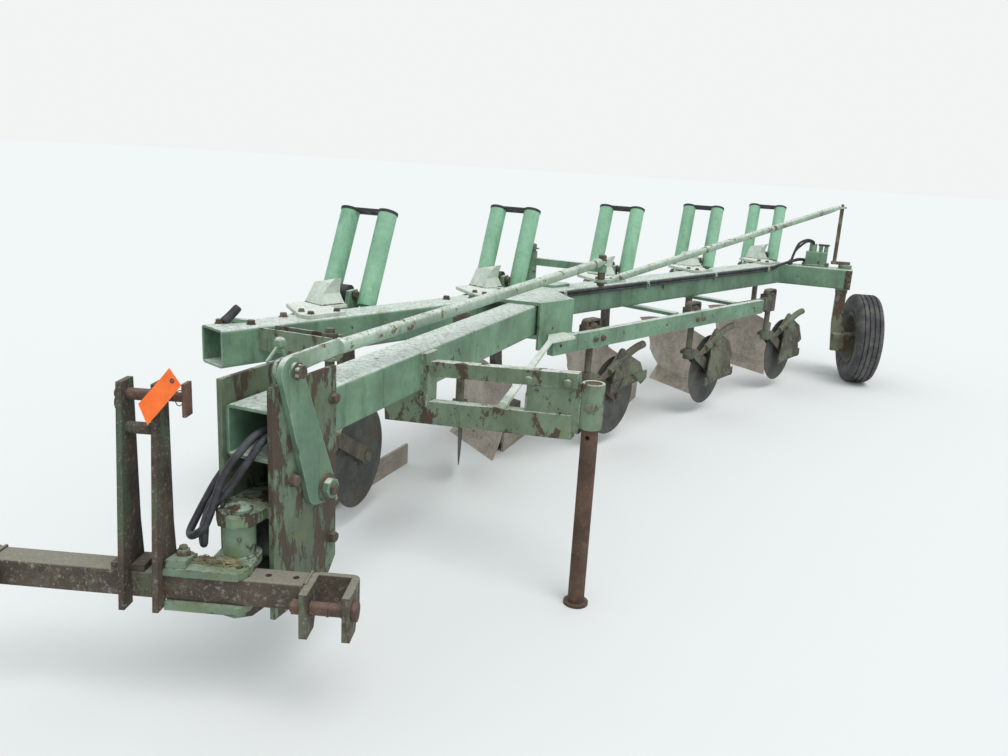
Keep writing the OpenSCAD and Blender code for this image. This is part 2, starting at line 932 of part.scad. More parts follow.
module tail_rim() placed() {
    color(pale)
        at_post()
            translate([wheel_out, 0, axle_z])
                rotate([0, 90, 0])
                    difference() {
                        union() {
                            rotate_extrude()
                                polygon([[stub / 2 + 0.5, -46], [46, -46], [46, -8], [rim_seat - 50, 6],
                                    [rim_seat - 24, 12 - rim_half], [rim_seat - 8, -rim_half], [rim_seat, -rim_half],
                                    [rim_seat, 24 - rim_half], [rim_seat - 16, 38 - rim_half], [rim_seat - 16, rim_half - 38],
                                    [rim_seat, rim_half - 24], [rim_seat, rim_half], [rim_seat - 10, rim_half],
                                    [rim_seat - 24, rim_half - 12], [rim_seat - 40, 14], [46, 2], [46, 46], [stub / 2 + 0.5, 46]]);
                        }
                        for (k = [0 : 5])
                            rotate([0, 0, 60 * k])
                                translate([34, 0, -60])
                                    cylinder(d = 10, h = 120);
                    }
}

module tail_tyre() placed() {
    r = tyre_dia / 2;
    w = tyre_width / 2;
    color(black)
        at_post()
            translate([wheel_out, 0, axle_z])
                rotate([0, 90, 0])
                    rotate_extrude()
                        polygon([[rim_seat + 0.3, 14 - rim_half], [rim_seat + 14, -rim_half - 2], [rim_seat + 50, -w],
                            [r - 39, -w + 2], [r - 14, -w + 16], [r - 3, -w + 34],
                            [r, -58], [r, -38], [r - 9, -34], [r - 9, -30], [r, -26], [r, -8], [r - 9, -5],
                            [r - 9, 5], [r, 8], [r, 26], [r - 9, 30], [r - 9, 34], [r, 38], [r, 58],
                            [r - 3, w - 34], [r - 14, w - 16], [r - 39, w - 2], [rim_seat + 50, w], [rim_seat + 14, rim_half + 2],
                            [rim_seat + 0.3, rim_half - 14]]);
}

// Spring reset units
casting_holes = [[-110, 430], [-42, 430], [-42, 562]];
hood_from = -299;

module clamp_castings() placed() {
    color(pale)
        for (i = [0 : bottoms - 1])
            on_beam()
                translate([0, bottom_step * i, beam_size + 0.3]) {
                    linear_extrude(16)
                        difference() {
                            polygon([[hood_from - 1, 480], [-64, 385], [-14, 400], [-14, 590], [-beam_size - 5, 610],
                                [-beam_size - 5, 700], [hood_from - 1, 700]]);
                            for (p = casting_holes)
                                translate(p)
                                    circle(d = 20);
                        }
                    // Hood that leans back over the beam's rear edge
                    difference() {
                        intersection() {
                            translate([hood_from - 10, 0, 15])
                                rotate([90, 0, 90])
                                    linear_extrude(150)
                                        polygon([[576, 0], [632, 96], [654, 120], [684, 120], [700, 0]]);
                            translate([0, 720, 15])
                                rotate([90, 0, 0])
                                    linear_extrude(160)
                                        polygon([[hood_from, 0], [hood_from + 3, 88], [-172, 117], [-190, 80], [-197, 48],
                                            [-170, 0]]);
                        }
                        translate([hood_from + 38, 663, 60])
                            cylinder(d = 30, h = 100);
                    }
                }
}

module reset_tubes() placed() {
    color("#78b08f")
        for (i = [0 : bottoms - 1], side = [-1, 1])
            difference() {
                union() {
                    translate([bottom_x(i) + side * tube_gap / 2, bottom_y(i), tube_top])
                        rotate([-tube_lean, 0, 0])
                            mirror([0, 0, 1]) {
                                cylinder(d = tube_dia, h = (tube_top - tube_end_z) / cos(tube_lean));
                                cylinder(d = 48, h = (tube_top - trunnion_z) / cos(tube_lean));
                            }
                    translate([bottom_x(i) + side * tube_gap / 2, trunnion_y(i), trunnion_z])
                        rod_x(-eye_wide / 2, eye_wide / 2, eye_dia);
                }
                translate([bottom_x(i) + side * tube_gap / 2, trunnion_y(i), trunnion_z])
                    rod_x(-eye_wide, eye_wide, trunnion_dia + 0.6);
                translate([bottom_x(i) + side * tube_gap / 2, bottom_y(i), tube_top])
                    rotate([-tube_lean, 0, 0])
                        translate([0, 0, -30])
                            cylinder(d = tube_dia - 14, h = 31);
            }
}

// Shaft that the tubes and the standard hang on
module trunnions() placed() {
    half = tube_gap / 2 + eye_wide / 2;
    color(steel)
        for (i = [0 : bottoms - 1])
            translate([bottom_x(i), trunnion_y(i), trunnion_z]) {
                rod_x(-half - 8, half + 8, trunnion_dia);
                rod_x(half + 0.5, half + 8, 50);
                rod_x(-half - 8, -half - 0.5, 50);
            }
}

// Side plates from the beam's rear face to the shaft
module beam_forks() placed() {
    color(green)
        difference() {
            for (i = [0 : bottoms - 1], side = [-1, 1])
                translate([bottom_x(i) + side * (fork_gap / 2 + fork_plate / 2) - fork_plate / 2, trunnion_y(i), 0])
                    rotate([90, 0, 90])
                        linear_extrude(fork_plate)
                            difference() {
                                union() {
                                    polygon([[-460, beam_bottom + 12], [0, trunnion_z - 56], [0, trunnion_z + 56],
                                        [-460, beam_top - 12]]);
                                    translate([0, trunnion_z])
                                        circle(d = 112);
                                    polygon([[-60, trunnion_z], [50, trunnion_z], [34, roller_z + 20], [-34, roller_z + 20]]);
                                }
                                translate([0, trunnion_z])
                                    circle(d = trunnion_dia + 0.6);
                                translate([0, roller_z])
                                    circle(d = 30.6);
                            }
            on_beam()
                translate([-beam_size - 0.3, -300, -10])
                    cube([1200, beam_length + 700, beam_size + 20]);
        }
}

module tube_caps() placed() {
    color(black)
        for (i = [0 : bottoms - 1])
            translate([bottom_x(i), bottom_y(i), tube_top])
                rotate([-tube_lean, 0, 0])
                    translate([0, 0, 0.3])
                        linear_extrude(12)
                            difference() {
                                union() {
                                    square([tube_gap, 60], center = true);
                                    for (side = [-1, 1])
                                        translate([side * tube_gap / 2, 0])
                                            circle(d = tube_dia + 6);
                                }
                                for (side = [-1, 1])
                                    translate([side * 34, 0])
                                        square([40, 22], center = true);
                            }
}

module toggle_rollers() placed() {
    color(black)
        for (i = [0 : bottoms - 1])
            translate([bottom_x(i), trunnion_y(i), roller_z]) {
                rod_x(-fork_gap / 2 + 1, fork_gap / 2 - 1, 84);
                rod_x(-fork_gap / 2 - fork_plate - 6, fork_gap / 2 + fork_plate + 6, 30);
            }
}

standard_thick = 32;

module standards() placed() {
    color(steel)
        for (i = [0 : bottoms - 1])
            translate([bottom_x(i) - standard_thick / 2, trunnion_y(i), 0])
                rotate([90, 0, 90])
                    linear_extrude(standard_thick)
                        difference() {
                            union() {
                                polygon([[0, 90], [140, 90], [140, 240], [92, 430], [70, 600], [52, trunnion_z],
                                    [-50, trunnion_z], [-40, 600], [-12, 430], [0, 300]]);
                                translate([0, trunnion_z])
                                    circle(d = 104);
                            }
                            translate([0, trunnion_z])
                                circle(d = trunnion_dia + 0.6);
                        }
}

// A plate between two like grids of points, given by rows
module shell(front, back, rows, cols) {
    n = len(front);
    w = cols + 1;
    cells = [for (j = [0 : rows - 1], i = [0 : cols - 1]) j * w + i];
    rim = concat([for (i = [0 : cols - 1]) [i, i + 1]],
        [for (j = [0 : rows - 1]) [j * w + cols, (j + 1) * w + cols]],
        [for (i = [0 : cols - 1]) [rows * w + cols - i, rows * w + cols - i - 1]],
        [for (j = [0 : rows - 1]) [(rows - j) * w, (rows - j - 1) * w]]);
    polyhedron(
        points = concat(front, back),
        faces = concat(
            [for (c = cells) [c, c + 1, c + w + 1]],
            [for (c = cells) [c, c + w + 1, c + w]],
            [for (c = cells) [n + c, n + c + w + 1, n + c + 1]],
            [for (c = cells) [n + c, n + c + w, n + c + w + 1]],
            [for (e = rim) [e[1], e[0], n + e[0]]],
            [for (e = rim) [e[1], n + e[0], n + e[1]]]
        )
    );
}

// Mouldboard: a surface that twists from the steep shin to the turned wing
board_rows = 7;
board_cols = 10;
share_rise = 50;
frog_inner_y = 238;
frog_outer_y = 368;
wing_lift = 900;
lift_from = 0.65;
function board_point(u, v) = [
    -12 - 470 * u - 90 * u * v * v,
    105 + 520 * u + (1 - u) * 150 * sin(90 * v) - 60 * u * v * v,
    share_rise + 2 + wing_lift * pow(max(0, u - lift_from), 2) * (1 - v)
        + v * (wing_height - 110 + 75 * sin(150 * u))
];

module mouldboards() placed() {
    front = [for (j = [0 : board_rows], i = [0 : board_cols]) board_point(i / board_cols, j / board_rows)];
    back = [for (p = front) p + [0.35 * board_thick, board_thick, 0]];
    color(rust)
        for (i = [0 : bottoms - 1])
            at_bottom(i)
                shell(front, back, board_rows, board_cols);
}

// Frog: a block on the landside and the standard, with a face that follows the board's back
frog_cols = 3;
frog_rows = 3;
frog_high = 170;

module frogs() placed() {
    inner = -landside_thick - 0.3;
    outer = standard_thick / 2 - landside_off + 0.3;
    slope = (frog_outer_y - frog_inner_y) / (inner - outer);
    aside = 0.37 * board_thick - 12 - inner;
    front = [for (j = [0 : frog_rows], i = [0 : frog_cols])
        board_point(i / board_cols, j / board_rows) + 1.05 * [0.35 * board_thick, board_thick, 0]
            + [-aside, 1.15 * aside, 0]];
    back = [for (p = front) [p[0], frog_inner_y + 12 + slope * (inner - p[0]), p[2]]];
    color(rust)
        for (i = [0 : bottoms - 1])
            at_bottom(i) {
                shell(front, back, frog_rows, frog_cols);
                translate([0, 0, share_rise + 2])
                    linear_extrude(frog_high)
                        polygon([[inner, frog_inner_y], [outer, frog_outer_y], [outer, frog_outer_y + 132],
                            [inner, frog_inner_y + 190]]);
            }
}

// Share: from the cutting edge on the ground up to the mouldboard's lower edge
share_sweep = 330;
share_cols = 8;
share_part = share_cols / board_cols;
landside_front = 160;
function share_point(s, v) =
    let (edge = [-cut * s, share_sweep * s, 0], seat = board_point(share_part * s, 0) - [0, 0.4, 0.6])
        edge + v * (seat - edge);

module shares() placed() {
    front = [for (j = [0 : 1], i = [0 : share_cols]) share_point(i / share_cols, j)];
    back = [for (p = front) p + [2, 11, 0]];
    color(steel)
        for (i = [0 : bottoms - 1])
            at_bottom(i)
                shell(front, back, 1, share_cols);
}

module landsides() placed() {
    color(steel)
        for (i = [0 : bottoms - 1])
            at_bottom(i)
                translate([-landside_thick, landside_front, 0])
                    cube([landside_thick, landside_length, landside_height]);
}

// Hoses that hang from the mouth of the landing beam and go back along the right head plate
hose_dia = 22;
plate_side = -half_beam - plate_gap - head_thick;
hose_1 = [[38, 130, 802], [28, 48, 796], [1, 10, 751], [-15, -4, 725], [-34, -26, 674], [-42, -44, 625], [-52, -56, 581],
    [-66, -66, 543], [-104, -66, 513], [-136, -40, 509], [-141, -10, 535], [-130, 20, 584], [-120, 60, 635],
    [-110, 130, 690], [plate_side - 13, 220, 735], [plate_side - 13, 300, 750]];
hose_2 = [[50, 130, 786], [52, 48, 784], [22, 18, 726], [-20, -6, 652], [-56, -30, 600], [-73, -45, 563], [-77, -49, 521],
    [-82, -48, 486], [-96, -36, 510], [-99, -20, 545], [-103, 20, 590], [plate_side - 13, 90, 620],
    [plate_side - 13, 200, 655], [plate_side - 13, 300, 670]];

module head_hoses() placed() {
    color(black) {
        tube(hose_1, hose_dia);
        tube(hose_2, hose_dia);
    }
    // Blocks on the plate that the hoses end in
    color(steel)
        for (end = [hose_1[len(hose_1) - 1], hose_2[len(hose_2) - 1]])
            translate([plate_side - 28, end[1] - 10, end[2] - 17])
                cube([27.7, 34, 34]);
}

// Hitch, drawn straight about the vertical pivot
crossbar_front = -111;
crossbar_rear = crossbar_front + crossbar_size;
crossbar_z = 358;
crossbar_holes = [106, 182];
crossbar_hole_dia = 18;
draft_thick = 22;
ear_thick = 22;
draft_pin_y = -133;
ear_round = 25;
wedge_wide = 56;
draft_core_dia = 28.6;
top_core_dia = 25.4;

module at_hitch() {
    rotate([0, 0, hitch_turn])
        children();
}

module crossbar() placed() {
    half = hitch_span / 2 - clevis_gap / 2 - ear_thick;
    color(rust)
        at_hitch()
            difference() {
                translate([mast_x - half + 0.3, crossbar_front + crossbar_size / 2, crossbar_z + crossbar_size / 2])
                    rotate([0, 0, -90])
                        square_tube(2 * half - 0.6, crossbar_size, crossbar_size, 10, 8);
                for (x = crossbar_holes)
                    translate([x, crossbar_front + crossbar_size / 2, crossbar_z - 1])
                        cylinder(d = crossbar_hole_dia, h = crossbar_size + 2);
            }
}

module draft_outline() {
    start = mast_x + mast_gap / 2 + mast_thick + 0.3;
    difference() {
        union() {
            polygon([[start, crossbar_front - 14], [40, crossbar_front - 14], [60, -91], [60, 0],
                [-60, 0], [-60, -42], [start, -42]]);
            circle(r = 60);
        }
        translate([30, -84])
            circle(d = 20);
    }
}

module draft_plates() placed() {
    color(green)
        at_hitch()
            union() {
                for (z = [crossbar_z + crossbar_size + 0.3, crossbar_z - draft_thick - 0.3])
                    translate([0, 0, z])
                        linear_extrude(draft_thick)
                            draft_outline();
                // Spacer round the pivot between the plates
                translate([0, 0, crossbar_z - 1])
                    cylinder(d = 62, h = crossbar_size + 2);
                // King pin with its sleeve and cap
                translate([0, 0, lower_ring_z - 8])
                    cylinder(d = pivot_dia, h = upper_ring_z + upper_ring_high + 20 - lower_ring_z);
                translate([0, 0, crossbar_z + crossbar_size])
                    cylinder(d = 90, h = upper_ring_z - crossbar_z - crossbar_size - 0.5);
                translate([0, 0, upper_ring_z + upper_ring_high + 0.5]) {
                    cylinder(d = 76, h = 9);
                    translate([0, 0, 9])
                        cylinder(d1 = 76, d2 = 40, h = 10);
                }
                // Wedge and bolt that hold the mast against the plates
                translate([mast_x + mast_gap / 2 + mast_thick + 6, 0, crossbar_z + crossbar_size + draft_thick - 0.5])
                    rotate([90, 0, 90])
                        linear_extrude(wedge_wide)
                            polygon([[crossbar_front - 10, 0], [-42, 0], [-42, 10], [crossbar_front - 10, 24]]);
                translate([mast_x + mast_gap / 2 + mast_thick + 6 + wedge_wide / 2, -66, crossbar_z + crossbar_size + draft_thick])
                    bolt_head(26, 32);
            }
}

module clevis() {
    out = clevis_gap / 2 + ear_thick;
    front = draft_pin_y - 32;
    difference() {
        intersection() {
            // U seen from above, with round rear corners
            translate([0, 0, draft_pin_z - 75])
                linear_extrude(128)
                    difference() {
                        union() {
                            translate([-out, front])
                                square([2 * out, crossbar_rear - ear_round - front]);
                            translate([-out + ear_round, crossbar_rear - 2 * ear_round])
                                square([2 * (out - ear_round), 2 * ear_round]);
                            for (side = [-1, 1])
                                translate([side * (out - ear_round), crossbar_rear - ear_round])
                                    circle(r = ear_round);
                        }
                        translate([-clevis_gap / 2, front - 1])
                            square([clevis_gap, crossbar_rear - 18 - front + 1]);
                    }
            // Seen from the side: deep in front, level with the crossbar behind
            translate([-out - 1, 0, 0])
                rotate([90, 0, 90])
                    linear_extrude(2 * out + 2)
                        polygon([[front - 1, draft_pin_z - 80], [front + 60, draft_pin_z - 80], [front + 88, draft_pin_z - 27],
                            [crossbar_rear + 1, draft_pin_z - 27], [crossbar_rear + 1, draft_pin_z + 60], [front - 1, draft_pin_z + 60]]);
        }
        translate([0, draft_pin_y, draft_pin_z])
            rod_x(-out - 1, out + 1, draft_core_dia + 0.6);
    }
}

module clevises() placed() {
    color(rust)
        at_hitch()
            for (side = [-1, 1])
                translate([mast_x + side * hitch_span / 2, 0, 0])
                    clevis();
}

// Pins with a sleeve in two parts between the ears, a head outside and a nut before the crossbar
module draft_pins() placed() {
    out = clevis_gap / 2 + ear_thick;
    color("#7a4a3a")
        at_hitch()
            for (side = [-1, 1])
                translate([mast_x + side * hitch_span / 2, draft_pin_y, draft_pin_z])
                    mirror([side < 0 ? 1 : 0, 0, 0]) {
                        rod_x(-out - 30, out + 16, draft_core_dia);
                        rod_x(-clevis_gap / 2 + 0.3, clevis_gap / 2 - 0.3, draft_pin_dia);
                        rod_x(out + 0.3, out + 14, 52);
                        rod_x(-out - 24, -out - 0.3, 46, $fn = 6);
                    }
}

mast_thick = 16;

mast_top = draft_pin_z + mast_height + 38;
top_pin_y = -72;
spacer_z = 832;
spacer_y = -84;

module mast_plate() {
    rotate([90, 0, 90])
        linear_extrude(mast_thick)
            polygon([[-158, crossbar_z - 14], [crossbar_front - 0.3, crossbar_z - 14],
                [crossbar_front - 0.3, crossbar_z + crossbar_size + 0.3],
                [crossbar_rear, crossbar_z + crossbar_size + 0.3], [crossbar_rear - 10, 560],
                [top_pin_y + 30, mast_top], [top_pin_y - 32, mast_top]]);
}

module mast() placed() {
    color(steel)
        at_hitch() {
            difference() {
                union() {
                    for (side = [-1, 1])
                        translate([mast_x + side * (mast_gap + mast_thick) / 2 - mast_thick / 2, 0, 0])
                            mast_plate();
                    translate([mast_x, spacer_y, spacer_z])
                        rod_x(-mast_gap / 2 - 1, mast_gap / 2 + 1, 32);
                }
                translate([mast_x, top_pin_y, draft_pin_z + mast_height])
                    rod_x(-mast_gap, mast_gap, top_core_dia + 0.6);
            }
            // Feet that clamp the mast on the crossbar, beside the draft plate
            for (side = [-1, 0])
                translate([mast_x + side * (mast_gap + 1) + (side < 0 ? -mast_thick : -mast_gap / 2 + 1), crossbar_front,
                    crossbar_z + crossbar_size + 0.3])
                    cube([mast_gap / 2 - 2, crossbar_size, 18]);
        }
}

module top_link_pin() placed() {
    color(rust)
        at_hitch()
            translate([mast_x, top_pin_y, draft_pin_z + mast_height]) {
                rod_x(-mast_gap / 2 - mast_thick - 16, 118, top_core_dia);
                rod_x(-mast_gap / 2 + 0.3, mast_gap / 2 - 0.3, top_pin_dia);
                translate([112, -20, -48])
                    cube([10, 40, 88]);
            }
}

main_beam();
landing_beam();
head_plates();
pivot_bearings();
splice_bracket();
coulter_bar();
bar_brackets();
front_coulter_arm();
coulter_clamps();
coulter_shanks();
stand_arms();
stand_brace();
tail_box();
tail_valve();
beam_hoses();
clamp_castings();
beam_forks();
trunnions();
reset_tubes();
tube_caps();
toggle_rollers();
standards();
frogs();
mouldboards();
shares();
landsides();
idler_post();
head_hoses();
crossbar();
draft_plates();
clevises();
draft_pins();
mast();
top_link_pin();
steering_lever();
front_rod();
idler_arm();
rear_rod();
tail_post();
tail_rim();
tail_tyre();
stand_leg();
coulter_fork(0);  // coulter_fork_1
coulter_fork(1);  // coulter_fork_2
coulter_fork(2);  // coulter_fork_3
coulter_fork(3);  // coulter_fork_4
coulter_fork(4);  // coulter_fork_5
coulter_disc(0);  // coulter_disc_1
coulter_disc(1);  // coulter_disc_2
coulter_disc(2);  // coulter_disc_3
coulter_disc(3);  // coulter_disc_4
coulter_disc(4);  // coulter_disc_5
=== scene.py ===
"""Semi-mounted mouldboard plough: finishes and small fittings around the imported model.

Places are worked out in the millimetres of the plough's own drawing, whose zero lies on the
ground under the hitch's upright pivot, and are turned to metres from the middle of the plough.
"""
import functools
import math

import bmesh
import bpy
import numpy as np
from mathutils import Matrix, Vector


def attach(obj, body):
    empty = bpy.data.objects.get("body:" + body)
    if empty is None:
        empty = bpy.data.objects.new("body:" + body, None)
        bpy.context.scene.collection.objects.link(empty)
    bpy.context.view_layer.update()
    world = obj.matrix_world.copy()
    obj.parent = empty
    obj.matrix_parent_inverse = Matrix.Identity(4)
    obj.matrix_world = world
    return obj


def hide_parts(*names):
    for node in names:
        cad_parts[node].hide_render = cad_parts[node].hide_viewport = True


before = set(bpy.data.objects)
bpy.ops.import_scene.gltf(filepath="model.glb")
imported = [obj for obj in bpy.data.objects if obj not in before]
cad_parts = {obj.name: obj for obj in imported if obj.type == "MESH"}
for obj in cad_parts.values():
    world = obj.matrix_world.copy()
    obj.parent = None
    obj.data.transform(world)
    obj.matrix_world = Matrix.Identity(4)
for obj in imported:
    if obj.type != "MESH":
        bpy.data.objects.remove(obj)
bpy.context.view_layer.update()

# ---- the plough's own measures, in mm
MIDDLE = np.array([349.8, 2716.935, 0.0])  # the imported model's origin, in the drawing
BEAM_FRONT = np.array([-701.0, 781.0])  # left corner of the main beam's front end
BEAM_ANGLE = math.radians(20.6)
BEAM_BOTTOM = 716.0
BEAM_SIZE = 150.0
BOTTOM_STEP = 1040.0
BOTTOMS = 5
HITCH_TURN = 18.0  # degrees, as parked
MAST = -218.0  # the mast's middle, along the crossbar
WHEEL_TURN = 14.5  # degrees, as parked
TAIL_POST = (1432.0, 5305.0)
WHEEL_OUT = 187.0
AXLE = 339.0
TYRE_RADIUS = 339.0
TUBE_LEAN = math.radians(24.3)
FIRST_TUBE = np.array([-694.0, 1830.0, 1264.0])
SHAFT_HIGH = 800.0
IDLER_JOINT = np.array([205.0, 2790.0, 1030.0])
IDLER_ARM = 420.0
IDLER_ANGLE = math.radians(-2.9)
CRANK = 84.0
LEVER_FACE = 91.2
SHARE_CUT = 406.0
BAR_OUT = 283.0
COULTER_AHEAD = 101.0  # of each step along the beam
ALONG = np.array([math.sin(BEAM_ANGLE), math.cos(BEAM_ANGLE), 0.0])
OUTWARD = np.array([math.cos(BEAM_ANGLE), -math.sin(BEAM_ANGLE), 0.0])
UP = np.array([0.0, 0.0, 1.0])
LEFT = np.array([1.0, 0.0, 0.0])
AHEAD = np.array([0.0, -1.0, 0.0])
SHANKS = [(-345.0, 968.0), (-112.0, 1680.0)] + [
    tuple(BEAM_FRONT + (BAR_OUT - 20) * OUTWARD[:2] + (BOTTOM_STEP * i - COULTER_AHEAD) * ALONG[:2])
    for i in (2, 3, 4)]
COULTER_SWING = [-5.0, -22.0, 17.0, 18.0, 20.0]  # degrees, as parked
DISC_PLACE = np.array([0.0, 265.0, 290.0])


def tube_head(i):
    """The middle of a reset unit's tube tops."""
    return FIRST_TUBE + ALONG * BOTTOM_STEP * i


def shaft(i):
    """The middle of the shaft that a unit's tubes and standard hang on: the tubes lean back, so
    it lies further forward than their tops by the height between them times the lean's tangent."""
    x, y, z = tube_head(i)
    return np.array([x, y - (z - SHAFT_HIGH) * math.tan(TUBE_LEAN), SHAFT_HIGH])


def metres(places):
    """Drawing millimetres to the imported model's metres."""
    return (np.asarray(places, float) - MIDDLE) / 1000.0


def on_beam(out, run, high):
    """A place given as mm out of the main beam's left face, along it, and above its underside."""
    return np.array([*BEAM_FRONT, BEAM_BOTTOM]) + out * OUTWARD + run * ALONG + high * UP


def swung(points, degrees, pivot=(0.0, 0.0)):
    """Places given from an upright pivot, swung about it by the angle and set where it stands.

    x' is x cos a - y sin a and y' is x sin a + y cos a, each plus the pivot's own place.
    """
    p = np.asarray(points, float)
    c, s = math.cos(math.radians(degrees)), math.sin(math.radians(degrees))
    return np.stack([c * p[..., 0] - s * p[..., 1] + pivot[0],
                     s * p[..., 0] + c * p[..., 1] + pivot[1], p[..., 2]], -1)


def on_hitch(points):
    """Places given as the hitch stands square to the beam's pivot."""
    return swung(points, HITCH_TURN)


def at_wheel(points):
    """Places given from the tail post, with the wheel's axle along X."""
    return swung(points, WHEEL_TURN, TAIL_POST)


def at_coulter(i, points):
    """Places given from a coulter's shank, with its disc facing along X."""
    return swung(points, -COULTER_SWING[i], SHANKS[i])


def coulter_side(i, side):
    """The direction of a coulter disc's axle, to its left for 1 and its right for -1."""
    return swung([(side, 0.0, 0.0)], -COULTER_SWING[i])


# ---- colours and shader nodes
def srgb(code):
    """Turns an sRGB hex code into Blender's linear colour."""
    parts = [int(code[k:k + 2], 16) / 255 for k in (1, 3, 5)]
    return (*[c / 12.92 if c <= 0.04045 else ((c + 0.055) / 1.055) ** 2.4 for c in parts], 1.0)


def add(material, kind, inputs=None, out=0, **settings):
    """Adds one node with its settings and links, and gives back one of its outputs.

    An input is a number, a vector, a hex colour, or the output of an earlier node.
    """
    node = material.node_tree.nodes.new("ShaderNode" + kind)
    for key, value in settings.items():
        setattr(node, key, value)
    for key, value in (inputs or {}).items():
        if isinstance(value, bpy.types.NodeSocket):
            material.node_tree.links.new(value, node.inputs[key])
        else:
            node.inputs[key].default_value = srgb(value) if isinstance(value, str) else value
    return node.outputs[out] if len(node.outputs) else node


def new_finish(name):
    """An empty material, its shader, the adder of its nodes, and its object coordinates."""
    material = bpy.data.materials.new(name)
    material.use_nodes = True
    material.node_tree.nodes.clear()
    node = functools.partial(add, material)
    surface = node("BsdfPrincipled")
    node("OutputMaterial", {"Surface": surface})
    return material, surface.node, node, node("TexCoord", out="Object")


# A colour mix has its share at input 0, its two colours at 6 and 7 and its result at output 2.
TINT = {"out": 2, "data_type": "RGBA"}
SOFTLY = {"interpolation_type": "SMOOTHSTEP"}
TIMES = {"operation": "MULTIPLY"}
PLUS = {"operation": "ADD"}
NOISE = ("Vector", "Scale", "Detail", "Roughness")


def layered(node, colour, layers, settings=SOFTLY):
    """Colours laid over one another.

    Each is a pattern, the two values between which it rises, the most it then covers, and its
    tint. It rises softly, or evenly where settings are empty.
    """
    for pattern, low, high, most, tint in layers:
        share = node("MapRange", {"Value": pattern, "From Min": low, "From Max": high, "To Max": most}, **settings)
        colour = node("Mix", {0: share, 6: colour, 7: tint}, **TINT)
    return colour


def lay_on(node, shader, colour, dullness, relief, mottle=None, round_edges=None):
    """Wires a finished colour, roughness and relief to the shader.

    dullness is a pattern and the roughness at its 0 and its 1, and relief a height, its strength
    and its depth. mottle is a pattern and the brightness it gives the colour at its 0.3 and 0.7.
    """
    if mottle:
        bright = node("MapRange", {"Value": mottle[0], "From Min": 0.3, "From Max": 0.7,
                                   "To Min": mottle[1], "To Max": mottle[2]})
        colour = node("HueSaturation", {"Value": bright, "Color": colour})
    rough = node("MapRange", {"Value": dullness[0], "To Min": dullness[1], "To Max": dullness[2]})
    bump = dict(zip(("Height", "Strength", "Distance"), relief))
    if round_edges is not None:
        bump["Normal"] = round_edges
    for result, socket in ((colour, "Base Color"), (rough, "Roughness"), (node("Bump", bump), "Normal")):
        shader.id_data.links.new(result, shader.inputs[socket])


# ---- finishes
def sprayed_enamel(name, paint, shade, chalk, rust="#5a4433", chips=0.6, chalking=0.9, algae=0.55,
                   moss=0.0, tooth=1.0, fall=1.0):
    """Alkyd enamel sprayed on mild steel and left outdoors for decades.

    The sun turns it to a pale chalk where it faces up, dotted with black algae; rain leaves dark
    runs down the sides; and it flakes to brown rust at edges and knocks. The cloudiness is
    about 300 mm across, the runs 40 mm, flakes 10 to 60 mm and the dots 8 mm. fall draws the
    flakes and the moss out downwards, by one over its value.
    """
    material, shader, node, where = new_finish(name)
    falling, drawn = (node("Mapping", {"Vector": where, "Scale": (1.0, 1.0, z)}) for z in (0.13, fall))
    clouds, grain, runs, flakes, dots, damp = (node("TexNoise", dict(zip(NOISE, pattern))) for pattern in (
        (where, 3.4, 8.0, 0.62), (where, 46.0, 6.0, 0.7), (falling, 24.0, 6.0, 0.66), (drawn, 13.0, 11.0, 0.72),
        (where, 95.0, 3.0, 0.55), (drawn, 7.0, 10.0, 0.72)))
    rounded = node("Bevel", {"Radius": 0.005}, samples=4)
    flat = node("NewGeometry", out="True Normal")
    along = node("VectorMath", {0: rounded, 1: flat}, out="Value", operation="DOT_PRODUCT")
    edge = node("MapRange", {"Value": along, "From Min": 0.995, "From Max": 0.8}, **SOFTLY)
    sky = node("SeparateXYZ", {"Vector": node("NewGeometry", out="Normal")}, out="Z")
    skyward = node("MapRange", {"Value": sky, "From Min": 0.35, "From Max": 0.93}, **SOFTLY)
    # Paint, clouded, with runs of dirt down the sides
    colour = layered(node, paint, [(clouds, 0.36, 0.66, 1.0, shade)])
    wet = node("MapRange", {"Value": runs, "From Min": 0.5, "From Max": 0.74, "To Max": 0.5}, **SOFTLY)
    colour = node("Mix", {0: wet, 6: colour, 7: shade}, blend_type="MULTIPLY", **TINT)
    # Chalk on what faces up and along worn edges
    thin = node("MapRange", {"Value": grain, "From Min": 0.3, "From Max": 0.56, "To Min": 0.6, "To Max": 1.0})
    bleached = node("Math", {0: skyward, 1: thin}, **TIMES)
    bleached = node("Math", {0: bleached, 1: chalking}, **TIMES)
    worn_edge = node("Math", {0: edge, 1: 0.5}, **TIMES)
    bleached = node("Math", {0: bleached, 1: worn_edge}, operation="MAXIMUM")
    colour = node("Mix", {0: bleached, 6: colour, 7: chalk}, **TINT)
    # Algae dots on the chalk
    dotted = node("MapRange", {"Value": dots, "From Min": 0.56, "From Max": 0.66, "To Max": algae}, **SOFTLY)
    dotted = node("Math", {0: dotted, 1: skyward}, **TIMES)
    colour = node("Mix", {0: dotted, 6: colour, 7: "#46453b"}, **TINT)
    # Moss in damp patches
    colour = layered(node, colour, [(damp, 0.5, 0.64, moss, "#717a4a")])
    # Rust where it flakes, more at edges
    knocked = node("Math", {0: edge, 1: 0.07}, **TIMES)
    loose = node("Math", {0: flakes, 1: knocked}, **PLUS)
    bare = node("MapRange", {"Value": loose, "From Min": chips, "From Max": chips + 0.035}, **SOFTLY)
    brown = node("Mix", {0: grain, 6: rust, 7: "#2f221b"}, **TINT)
    colour = node("Mix", {0: bare, 6: colour, 7: brown}, **TINT)
    height = node("Math", {0: grain, 1: bare}, operation="SUBTRACT")
    lay_on(node, shader, colour, (grain, 0.48, 0.8), (height, 0.3 * tooth, 0.003), (grain, 0.86, 1.12), rounded)
    return material


